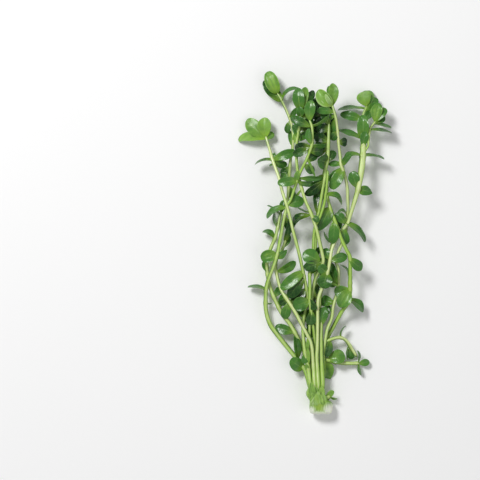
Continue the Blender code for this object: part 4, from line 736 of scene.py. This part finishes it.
class Shape:
    """A growing mesh with what its materials read at each point."""

    def __init__(self):
        self.points = []
        self.faces = []
        self.slots = []
        self.skin = []       # place on the surface in millimetres, for grain
        self.plan = []       # where in the piece a point is, as each material reads it
        self.shade = []      # lightness, or on a stem how near a node is

    def add(self, point, skin, plan, shade):
        self.points.append(Vector((point.x, point.y, max(point.z, 0.0))))
        self.skin.append(skin)
        self.plan.append(plan)
        self.shade.append(shade)
        return len(self.points) - 1

    def face(self, corners, slot):
        self.faces.append(tuple(corners))
        self.slots.append(slot)

    def wrap(self, rings, slot, flipped=False):
        """Faces between rings of points that follow each other."""
        for low, high in zip(rings, rings[1:]):
            for corner in range(len(low)):
                following = (corner + 1) % len(low)
                others = [high[corner], high[following], low[following]]
                if flipped:
                    others.reverse()
                self.face([low[corner], *others], slot)

    def to_object(self, name, materials):
        mesh = bpy.data.meshes.new(name)
        mesh.from_pydata([(point - CENTRE) * MM for point in self.points], [], self.faces)
        mesh.polygons.foreach_set("material_index", self.slots)
        mesh.polygons.foreach_set("use_smooth", [True] * len(self.faces))
        for label, values in (("skin", self.skin), ("plan", self.plan)):
            layer = mesh.attributes.new(label, "FLOAT_VECTOR", "POINT")
            layer.data.foreach_set("vector", [part for value in values for part in value])
        layer = mesh.attributes.new("shade", "FLOAT", "POINT")
        layer.data.foreach_set("value", self.shade)
        for material in materials:
            mesh.materials.append(material)
        mesh.validate()
        return add_to_scene(name, mesh)


def add_stem(shape, points, leaf_feet, paleness, slot):
    """A round ribbed stem with swollen nodes. Its plan is a band round it, which places painted shade
    on the sides and a painted highlight on the top, the share along, paleness.
    """
    route = smooth_route(points, FINE_SPACING)
    seed = Vector((points[0][0], points[0][1], points[-1][0])) * 0.37
    travelled = 0.0
    rings = []
    last = len(route) - 1
    for index, (centre, radius, side_way, up_way) in enumerate(rings_along(route)):
        if index:
            travelled += (centre - route[index - 1][0]).length
        node = 0.0
        for foot in leaf_feet:
            gap = (foot - centre).length / NODE_REACH
            node = max(node, math.exp(-gap * gap))
        uneven = STEM_UNEVEN * noise.noise(seed + Vector((0, 0, travelled * UNEVEN_PACE)))
        thick = radius * (1 + NODE_SWELL * node + uneven)
        near_crown = limited((FOOT_START - centre.y) / (FOOT_START - FOOT_END))
        thick *= 1 + (max(FOOT_WIDTH / radius, 1.0) - 1) * near_crown
        thick *= END_WIDTHS[min(index, last - index, len(END_WIDTHS) - 1)]
        drift = BAND_DRIFT * noise.noise(seed + Vector((travelled * DRIFT_PACE, 5.0, 0)))
        place = 2.0 * index / last
        half = min(int(place), 1)
        pale = paleness[half] + (paleness[half + 1] - paleness[half]) * (place - half)
        ring = []
        for corner in range(FINE_SIDES):
            angle = 2 * math.pi * corner / FINE_SIDES
            ribbed = thick * (1 + RIB_HEIGHT * math.cos(STEM_RIBS * angle + travelled * RIB_TWIST))
            offset = side_way * math.cos(angle) + up_way * math.sin(angle)
            # The first plan value places the painted shade on the sides and the painted highlight on top.
            ring.append(shape.add(centre + offset * ribbed,
                                  (math.cos(angle) * radius, math.sin(angle) * radius, travelled),
                                  (math.cos(2 * angle + drift), index / last, pale), node))
        rings.append(ring)
    shape.wrap(rings, slot)
    shape.face(rings[0], slot)
    shape.face(reversed(rings[-1]), slot)


def add_blade(shape, leaf, shade, seed, slot, pleat=0.0):
    """A thin cupped leaf with a midrib. Its plan is the share across, along, and 1 on the underside."""
    foot, tip, width, roll, arch, form = leaf
    length, _, up, flat_side = leaf_ways(foot, tip)
    chance = random.Random(seed)
    drawn = [chance.uniform(*limits) for limits in LEAF_CHANCES.values()]
    fold, cup, wave, wave_start, lean, twist, droop = drawn
    cup += LEAF_FORMS[form][2]
    rows = []
    for row in range(BLADE_ROWS + 1):
        share = 1 - (1 - row / BLADE_ROWS) ** ROW_CROWDING
        normal, side = rolled(up, flat_side, math.radians(roll) + math.radians(twist) * share)
        bow = arch * length * 4 * share * (1 - share)
        bow -= droop * length * max(0.0, share - DROOP_START) ** 2 * 4
        sway = side * (lean * length * math.sin(math.pi * share))
        middle = foot + (tip - foot) * share + normal * bow + sway
        half = half_width_at(form, share) if share < 1 else 0.0
        half = max(half, LEAF_STALK if share < STALK_SHARE else 0.0) * width / 2
        pleated = pleat * math.sin(math.pi * share) ** 2
        turn = RIM_WAVES * share + wave_start
        top = []
        under = []
        for column in range(-BLADE_COLUMNS, BLADE_COLUMNS + 1):
            across = math.sin(column / BLADE_COLUMNS * math.pi / 2)
            spread = abs(across)
            pleat_height = -math.cos(PLEAT_TURNS * across) * pleated
            lift = half * (fold * spread + cup * spread * spread)
            lift += wave * width * spread * spread * math.sin(turn + across * WAVE_SHIFT)
            skin = (across * half, share * length, seed % 97)
            ripple_place = Vector((skin[0] * RIPPLE_PACE[0], skin[1] * RIPPLE_PACE[1], seed * 1.7))
            lift += BLADE_RIPPLE * noise.noise(ripple_place)
            lift += PLEAT * pleat_height
            lift -= GROOVE_DEPTH * math.exp(-(across / GROOVE_WIDTH) ** 2) * (1 - share)
            thick = BLADE_THICKNESS / 2 * math.sqrt(max(0.0, 1 - spread ** 4))
            thick *= BLADE_TAPER[0] - BLADE_TAPER[1] * share
            point = middle + side * (half * across) + normal * lift
            # The pleat ridges get a painted highlight.
            tone_with_highlight = shade + PLEAT_HIGHLIGHT * max(pleat_height, 0.0)
            top.append(shape.add(point + normal * thick, skin, (across, share, 0.0), tone_with_highlight))
            if abs(column) < BLADE_COLUMNS:
                thick += GROOVE_DEPTH * math.exp(-(across / RIDGE_WIDTH) ** 2) * (1 - share)
                under.append(shape.add(point - normal * thick, skin, (across, share, 1.0), shade))
        rows.append(top + under[::-1])
    shape.wrap(rows, slot, flipped=True)
    shape.face(reversed(rows[0]), slot)
    shape.face(rows[-1], slot)


# Materials

class Tree:
    """Short names for the nodes that the materials use."""

    def __init__(self, name):
        self.material = bpy.data.materials.new(name)
        self.material.use_nodes = True
        self.nodes = self.material.node_tree.nodes
        self.links = self.material.node_tree.links
        self.shader = self.nodes["Principled BSDF"]

    def wire(self, socket, value):
        if isinstance(value, bpy.types.NodeSocket):
            self.links.new(value, socket)
        elif socket.type == "RGBA":
            socket.default_value = (*value, 1.0)
        else:
            socket.default_value = value

    def make(self, kind, wires, **settings):
        made = self.nodes.new(kind)
        for key, value in settings.items():
            setattr(made, key, value)
        for socket, value in wires.items():
            self.wire(made.inputs[socket], value)
        return made

    def read(self, label, output="Vector"):
        return self.make("ShaderNodeAttribute", {}, attribute_name=label).outputs[output]

    def read_plan(self):
        return self.make("ShaderNodeSeparateXYZ", {0: self.read("plan")}).outputs

    def math(self, operation, first, second=0.0, clamp=False):
        made = self.make("ShaderNodeMath", {0: first, 1: second}, operation=operation, use_clamp=clamp)
        return made.outputs[0]

    def plus(self, first, second, clamp=False):
        return self.math("ADD", first, second, clamp)

    def times(self, first, second):
        return self.math("MULTIPLY", first, second)

    def swing(self, grain, reach):
        """Grain as a value that swings about 0."""
        return self.times(self.math("SUBTRACT", grain, 0.5), reach)

    def ramp(self, value, low, high):
        """Value low..high eased to 0..1."""
        return self.make("ShaderNodeMapRange", {0: value, 1: low, 2: high},
                         interpolation_type="SMOOTHSTEP").outputs[0]

    def noise(self, place, scale, detail):
        return self.make("ShaderNodeTexNoise", {"Vector": place, "Scale": scale, "Detail": detail}).outputs[0]

    def grain(self, stretch, scale, detail):
        """Noise on a piece's surface, in millimetres there."""
        scaled = self.make("ShaderNodeVectorMath", {0: self.read("skin"), 1: stretch}, operation="MULTIPLY")
        return self.noise(scaled.outputs[0], scale, detail)

    def mix(self, share, first, second):
        return self.make("ShaderNodeMix", {0: share, 6: first, 7: second}, data_type="RGBA").outputs[2]

    def finish(self, colour, roughness, height, depth, subsurface, radius):
        """Fills the shader. Depth is how high the bumps stand in millimetres."""
        bump = self.make("ShaderNodeBump", {"Height": height, "Strength": 1.0, "Distance": depth * MM})
        for label, value in (("Base Color", colour), ("Roughness", roughness), ("Normal", bump.outputs[0]),
                             ("Subsurface Weight", subsurface), ("Subsurface Radius", radius),
                             ("Subsurface Scale", MM)):
            self.wire(self.shader.inputs[label], value)
        return self.material


LEAF_DARK = (0.004, 0.036, 0.004)
LEAF_MIDDLE = (0.066, 0.204, 0.030)
LEAF_BRIGHT = (0.245, 0.450, 0.066)
LEAF_BASE = (0.300, 0.500, 0.032)
LEAF_UNDERSIDE = (0.170, 0.320, 0.095)
LEAF_YOUNG = (0.210, 0.420, 0.100)
LEAF_RIB = (0.330, 0.520, 0.140)
YOUNG_RIM_AND_HIGHLIGHT = (0.620, 0.830, 0.380)
STEM_GREEN = (0.330, 0.560, 0.060)
STEM_CREAM = (0.680, 0.770, 0.340)
STEM_HIGHLIGHT = (0.860, 0.940, 0.560)
STEM_TIP = (0.200, 0.400, 0.060)
STEM_SIDE_SHADE = (0.075, 0.180, 0.018)
STEM_NODE = (0.420, 0.560, 0.140)
STEM_FOOT = (0.370, 0.610, 0.090)
CROWN_GREEN = (0.290, 0.510, 0.100)
CROWN_DEEP = (0.150, 0.300, 0.045)
CROWN_YELLOW = (0.300, 0.440, 0.045)
CROWN_SHEATH = (0.080, 0.220, 0.015)
CROWN_END = (0.900, 0.940, 0.780)
FLOOR_TONES = ((0.965, 0.965, 0.965), (0.985, 0.985, 0.985))
EVEN = (1.0, 1.0, 1.0)   # grain that isn't stretched any way


def leaf_material():
    tree = Tree("baby_tears_leaf")
    across, along, below = tree.read_plan()
    shade = tree.read("shade", "Fac")
    spread = tree.math("ABSOLUTE", across)
    patches = tree.grain(EVEN, 0.45, 3.0)
    fine = tree.grain(EVEN, 4.5, 2.0)
    light = tree.plus(tree.plus(shade, tree.swing(patches, 0.9)), tree.swing(fine, 0.25))
    # Shade picks the colour from dark to bright; it holds painted shade and light as well as the leaf's own
    # tone.
    colour = tree.mix(tree.ramp(light, -1.0, 0.0), LEAF_DARK, LEAF_MIDDLE)
    colour = tree.mix(tree.ramp(light, 0.0, 1.0), colour, LEAF_BRIGHT)
    # The youngest leaves are paler, and every leaf yellows toward its foot, light leaves the most.
    young = tree.ramp(shade, 1.0, 1.3)
    colour = tree.mix(tree.times(young, 0.7), colour, LEAF_YOUNG)
    yellowing = tree.plus(tree.times(tree.ramp(shade, 0.35, 0.70), 0.25), 0.40)
    colour = tree.mix(tree.times(tree.ramp(along, 0.50, 0.05), yellowing), colour, LEAF_BASE)
    # Slanting side veins, the midrib and a thin light rim.
    slant = tree.math("SUBTRACT", tree.times(along, 5.5), tree.times(spread, 1.5))
    vein = tree.math("ABSOLUTE", tree.math("SUBTRACT", tree.math("FRACT", slant), 0.5))
    vein = tree.times(tree.ramp(vein, 0.10, 0.0), tree.ramp(spread, 0.9, 0.3))
    rib = tree.times(tree.ramp(spread, 0.10, 0.02), tree.ramp(along, 0.95, 0.35))
    colour = tree.mix(tree.times(vein, 0.13), colour, LEAF_RIB)
    colour = tree.mix(tree.times(rib, 0.28), colour, LEAF_RIB)
    colour = tree.mix(tree.times(tree.ramp(spread, 0.92, 1.0), 0.22), colour, LEAF_RIB)
    # The curled leaves at a tip have a broad pale rim, partly their own colour and partly a painted
    # highlight; the palest leaf is wholly a painted highlight.
    rim = tree.times(tree.ramp(spread, 0.70, 0.97), young)
    rim = tree.plus(tree.times(rim, 0.9), tree.ramp(shade, 1.4, 2.1), clamp=True)
    colour = tree.mix(rim, colour, YOUNG_RIM_AND_HIGHLIGHT)
    colour = tree.mix(tree.times(below, 0.45), colour, LEAF_UNDERSIDE)
    # Light leaves and undersides shine less.
    roughness = tree.plus(tree.times(fine, 0.16), 0.14)
    roughness = tree.plus(roughness, tree.times(below, 0.15))
    roughness = tree.plus(roughness, tree.times(tree.ramp(shade, 0.30, 0.65), 0.14))
    tree.shader.inputs["Specular IOR Level"].default_value = 0.42
    height = tree.plus(tree.times(fine, 0.5), tree.times(vein, -0.6))
    height = tree.plus(height, tree.times(patches, 1.2))
    return tree.finish(colour, roughness, height, 0.05, 0.12, (0.3, 0.8, 0.15))


def stem_material():
    tree = Tree("baby_tears_stem")
    shade_band, along, paleness = tree.read_plan()
    node = tree.read("shade", "Fac")
    streaks = tree.grain((1.0, 1.0, 0.10), 2.6, 3.0)
    blotches = tree.grain(EVEN, 0.22, 2.0)
    pale = tree.plus(paleness, tree.swing(streaks, 0.9))
    pale = tree.plus(pale, tree.swing(blotches, 0.5), clamp=True)
    colour = tree.mix(pale, STEM_GREEN, STEM_CREAM)
    colour = tree.mix(tree.times(tree.ramp(along, 0.30, 0.0), 0.8), colour, STEM_FOOT)
    colour = tree.mix(tree.times(tree.ramp(along, 0.92, 1.0), 0.75), colour, STEM_TIP)
    colour = tree.mix(tree.times(node, 0.45), colour, STEM_NODE)
    # Painted shade darkens each stem's two sides, and a painted highlight lightens its top and underside.
    shade_and_highlight = tree.plus(shade_band, tree.swing(streaks, 1.4))
    colour = tree.mix(tree.times(tree.ramp(shade_and_highlight, -0.15, 0.85), 0.92), colour, STEM_SIDE_SHADE)
    # The painted highlight is stronger on paler stems.
    highlight_amount = tree.plus(tree.times(pale, 0.75), 0.28)
    colour = tree.mix(tree.times(tree.ramp(shade_and_highlight, -0.50, -1.25), highlight_amount), colour, STEM_HIGHLIGHT)
    roughness = tree.plus(tree.times(streaks, 0.18), 0.26)
    return tree.finish(colour, roughness, streaks, 0.05, 0.25, (0.8, 1.2, 0.4))


def crown_material():
    tree = Tree("baby_tears_crown")
    yellow = tree.read_plan()[2]
    end = tree.read("shade", "Fac")
    streaks = tree.grain((1.0, 0.12, 1.0), 2.4, 4.0)
    blotches = tree.grain((1.0, 0.5, 1.0), 0.45, 2.0)
    colour = tree.mix(tree.ramp(streaks, 0.34, 0.60), CROWN_DEEP, CROWN_GREEN)
    colour = tree.mix(tree.times(tree.ramp(blotches, 0.45, 0.65), 0.6), colour, STEM_FOOT)
    colour = tree.mix(tree.times(yellow, 0.7), colour, CROWN_YELLOW)
    colour = tree.mix(tree.ramp(end, 0.0, -1.0), colour, CROWN_SHEATH)
    pale_streak = tree.plus(end, tree.swing(streaks, 0.7))
    colour = tree.mix(tree.ramp(pale_streak, 0.08, 0.95), colour, CROWN_END)
    roughness = tree.plus(tree.times(streaks, 0.2), 0.24)
    return tree.finish(colour, roughness, streaks, 0.22, 0.12, (1.0, 1.4, 0.6))


def floor_material():
    tree = Tree("studio_floor")
    place = tree.make("ShaderNodeTexCoord", {}).outputs["Object"]
    tree.wire(tree.shader.inputs["Base Color"], tree.mix(tree.noise(place, 6.0, 2.0), *FLOOR_TONES))
    tree.wire(tree.shader.inputs["Roughness"], 0.9)
    return tree.material


# Crown

CROWN_LENGTH_STEPS = 44
CROWN_AROUND = 56
CROWN_TOP = [(-63.4, 0.4, 3.3, 3.0), (-62.4, 0.4, 2.6, 2.4), (-61.8, 0.4, 1.6, 1.6)]
CROWN_FOLDS = 7
FOLD_HEIGHT = 0.022                  # this and the lumps are shares of the crown's half size
FOLD_TWIST = 0.35                    # how far their phase shifts in a millimetre
FOLD_DRIFT = 2                       # how far the lumps push the folds aside
LUMP_HEIGHT = 0.07
LUMP_PACE = (1.6, 0.16)              # how close the lumps lie round the crown and along it
SMALL_LUMP_HEIGHT = 0.025
SMALL_LUMPS = 3.1                    # how much closer the small lumps lie
PALE_CORNERS = [(6.5, -73.4, 3.6, 1.0), (-1.6, -73.2, 2.2, 0.75)]   # x, y, reach and strength
PALE_END = 1.25                      # a pale corner ends at this many times its reach
PALE_RIM = (-72.6, 2.4)              # y where the whitish rim of the cut end begins, and its depth
YELLOW_MIDDLE = (2.0, -71.5, 3.0)    # x, y and reach of the yellow middle
YELLOW_END = 1.2                     # and it ends at this many times its reach
CUT_RINGS = 12                       # rings of faces between the rim of the cut end and its middle
CUT_ROUNDS = 6                       # stems that show in the cut end, around a middle one
CUT_TURN = 0.3                       # how far they are turned, as a share of the way to the next one
CUT_SPREAD = 0.62                    # how far out they lie, as a share of the end's half size
CUT_ROUND_SIZE = 0.95                # radius of each of them
CUT_DEPTH = 0.30                     # how deep the grooves between them are
CUT_EDGE = 0.6                       # share of their radius where the groove begins
CUT_RIM = 0.25                       # share of the way in from the rim where the grooves are whole
CUT_GRAIN = 0.12                     # how uneven the rounds are
CUT_GRAIN_PACE = 1.3                 # how fast that changes, by the millimetre
CUT_PALENESS = 0.95
CUT_SHADE = 0.50                     # how much less pale the grooves are
SHEATH_SHADES = (-0.30, -0.1)        # how dark the two sheath leaves are, below 0
SHEATH_ARCH = 0.04
SCALE_ARCH = 0.05
FIRST_SCALE_SEED = 7
# Scales pressed on the crown: foot, tip, width, roll, and how pale.
SCALES = [
    ((-1.9, -72.9, 5.6), (0.5, -66.4, 8.0), 2.0, -25, 0.28),
    ((2.4, -72.2, 6.9), (1.3, -64.9, 8.3), 4.2, 0, 0.14),
    ((4.8, -72.4, 5.8), (3.4, -64.6, 8.0), 3.0, 20, 0.12),
]


def add_cut_end(shape, rim, places, slot):
    """The cut face of the crown: the stems that grew together show in it as pale rounds."""
    y, middle, half_width, half_height = CROWN_SECTIONS[0]
    rounds = [(middle, CROWN_MIDDLE_Z)]
    for number in range(CUT_ROUNDS):
        angle = 2 * math.pi * (number + CUT_TURN) / CUT_ROUNDS
        rounds.append((middle + CUT_SPREAD * half_width * math.cos(angle),
                       CROWN_MIDDLE_Z + CUT_SPREAD * half_height * math.sin(angle)))
    outer = rim
    for step in range(1, CUT_RINGS + 1):
        share = 1 - step / CUT_RINGS
        inner = []
        for edge_x, edge_z in places if share else places[:1]:
            x = middle + (edge_x - middle) * share
            z = CROWN_MIDDLE_Z + (edge_z - CROWN_MIDDLE_Z) * share
            from_round = min(math.hypot(x - round_x, z - round_z) for round_x, round_z in rounds)
            groove = limited((from_round / CUT_ROUND_SIZE - CUT_EDGE) / (1 - CUT_EDGE))
            groove *= min(1.0, (1 - share) / CUT_RIM)
            grain = CUT_GRAIN * noise.noise(Vector((x, 0.0, z)) * CUT_GRAIN_PACE)
            inner.append(shape.add(Vector((x, y + CUT_DEPTH * (groove + grain), z)), (x, y, z),
                                   (0.0, 0.0, 0.0), CUT_PALENESS - CUT_SHADE * groove + grain))
        for corner in range(len(rim)):
            following = (corner + 1) % len(rim)
            inside = [inner[corner], inner[following]] if share else inner
            shape.face([outer[following], outer[corner], *inside], slot)
        outer = inner


def add_crown(shape, slot):
    """The swollen base, an oval body with lengthwise folds. The third value of its plan is yellowness."""
    sections = CROWN_SECTIONS[:-2] + CROWN_TOP
    rings = []
    end_places = []
    for row, half_height in smooth_route(sections, (sections[-1][0] - sections[0][0]) / CROWN_LENGTH_STEPS):
        y, middle, half_width = row
        ring = []
        for corner in range(CROWN_AROUND):
            angle = 2 * math.pi * corner / CROWN_AROUND
            place = Vector((math.cos(angle) * LUMP_PACE[0], y * LUMP_PACE[1], math.sin(angle) * LUMP_PACE[0]))
            lump = 1 + LUMP_HEIGHT * noise.noise(place) + SMALL_LUMP_HEIGHT * noise.noise(place * SMALL_LUMPS)
            fold = CROWN_FOLDS * angle + FOLD_TWIST * y + FOLD_DRIFT * noise.noise(place)
            lump += FOLD_HEIGHT * math.sin(fold)
            across, up = crown_outline(angle)
            x = middle + half_width * lump * across
            z = CROWN_MIDDLE_Z + half_height * lump * up
            if not rings:
                end_places.append((x, z))
            pale = limited((PALE_RIM[0] - y) / PALE_RIM[1])
            for corner_x, corner_y, reach, strength in PALE_CORNERS:
                away = math.hypot(x - corner_x, y - corner_y) / reach
                pale = max(pale, strength * limited(PALE_END - away))
            away = math.hypot(x - YELLOW_MIDDLE[0], y - YELLOW_MIDDLE[1]) / YELLOW_MIDDLE[2]
            yellow = limited(YELLOW_END - away)
            ring.append(shape.add(Vector((x, y, z)), (x, y, z), (0.0, 0.0, yellow), pale))
        rings.append(ring)
    shape.wrap(rings, slot, flipped=True)
    add_cut_end(shape, rings[0], end_places, slot)
    shape.face(rings[-1], slot)


def add_crown_leaf(shape, row, arch, shade, seed):
    foot, tip, width, roll = row
    add_blade(shape, (Vector(foot), Vector(tip), width, roll, arch, "pointed"), shade, seed, 0)


def place_piece(shape, name, materials):
    piece = shape.to_object(name + "_plant", materials)
    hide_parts(name)
    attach(piece, "root")


def rooted(name, points):
    """A stem's route with a start inside the crown or the stem that it grows from."""
    if name in SHOOT_ROOTS:
        return [SHOOT_ROOTS[name]] + points
    x, y, z, radius = points[0]
    start = (ROOT_MIDDLE + (x - ROOT_MIDDLE) * ROOT_SPREAD[0], y - ROOTED_DEPTH,
             CROWN_MIDDLE_Z + (z - CROWN_MIDDLE_Z) * ROOT_SPREAD[1], radius)
    return [start] + points


# All pieces

LEAF = leaf_material()
STEM = stem_material()
CROWN = crown_material()

for name, leaves in settle_leaves([SOLID_LEAVES, SMALL_LEAVES]).items():
    shape = Shape()
    add_stem(shape, rooted(name, STEM_ROUTES[name]), [leaf[0] for leaf, _ in leaves], STEM_PALENESS[name], 0)
    for number, (leaf, shade) in enumerate(leaves):
        seed = number + 31 * len(name) + int(abs(leaf[1].x) * 7)
        add_blade(shape, leaf, shade, seed, 1, PLEATED.get((name, number), 0.0))
    place_piece(shape, name, [STEM, LEAF])

shape = Shape()
add_crown(shape, 0)
for number, row in enumerate(SHEATHS):
    add_crown_leaf(shape, row, SHEATH_ARCH, SHEATH_SHADES[number], number)
for number, (*row, pale) in enumerate(SCALES):
    add_crown_leaf(shape, row, SCALE_ARCH, pale, FIRST_SCALE_SEED + number)
place_piece(shape, "crown", [CROWN])


# Floor, light and camera

VIEW_CENTRE = Vector((-0.0328, 0.0012, 0.008))   # what the middle of the photo looks at
VIEW_SPAN = 0.210                                # width of the photo at the bunch
LENS = 250.0
SENSOR = 36.0
FLOOR = 3.0                                      # half the width of the floor
KEY_LIGHT = ((-0.45, 0.50, 0.85), 0.30, 7.9)     # place, width and power
FILL_LIGHT = ((0.7, -0.4, 0.8), 0.9, 1.6)
WORLD_LIGHT = 0.34


def area_light(name, place, size, power):
    lamp = bpy.data.lights.new(name, "AREA")
    lamp.shape = "SQUARE"
    lamp.size = size
    lamp.energy = power
    holder = add_to_scene(name, lamp)
    holder.location = place
    holder.rotation_euler = (-Vector(place)).to_track_quat("-Z", "Y").to_euler()


floor_mesh = bpy.data.meshes.new("studio_floor")
floor_corners = [(-FLOOR, -FLOOR, 0), (FLOOR, -FLOOR, 0), (FLOOR, FLOOR, 0), (-FLOOR, FLOOR, 0)]
floor_mesh.from_pydata(floor_corners, [], [(0, 1, 2, 3)])
floor_mesh.materials.append(floor_material())
add_to_scene("studio_floor", floor_mesh)

area_light("key_softbox", *KEY_LIGHT)
area_light("fill_softbox", *FILL_LIGHT)

world = bpy.data.worlds.new("studio_air")
world.use_nodes = True
world.node_tree.nodes["Background"].inputs["Color"].default_value = (1.0, 1.0, 1.0, 1.0)
world.node_tree.nodes["Background"].inputs["Strength"].default_value = WORLD_LIGHT
bpy.context.scene.world = world
bpy.context.scene.view_settings.view_transform = "Standard"

camera_data = bpy.data.cameras.new("photo_camera")
camera_data.lens = LENS
camera_data.sensor_width = SENSOR
camera = add_to_scene("photo_camera", camera_data)
camera.location = VIEW_CENTRE + Vector((0, 0, VIEW_SPAN * LENS / SENSOR))
bpy.context.scene.camera = camera
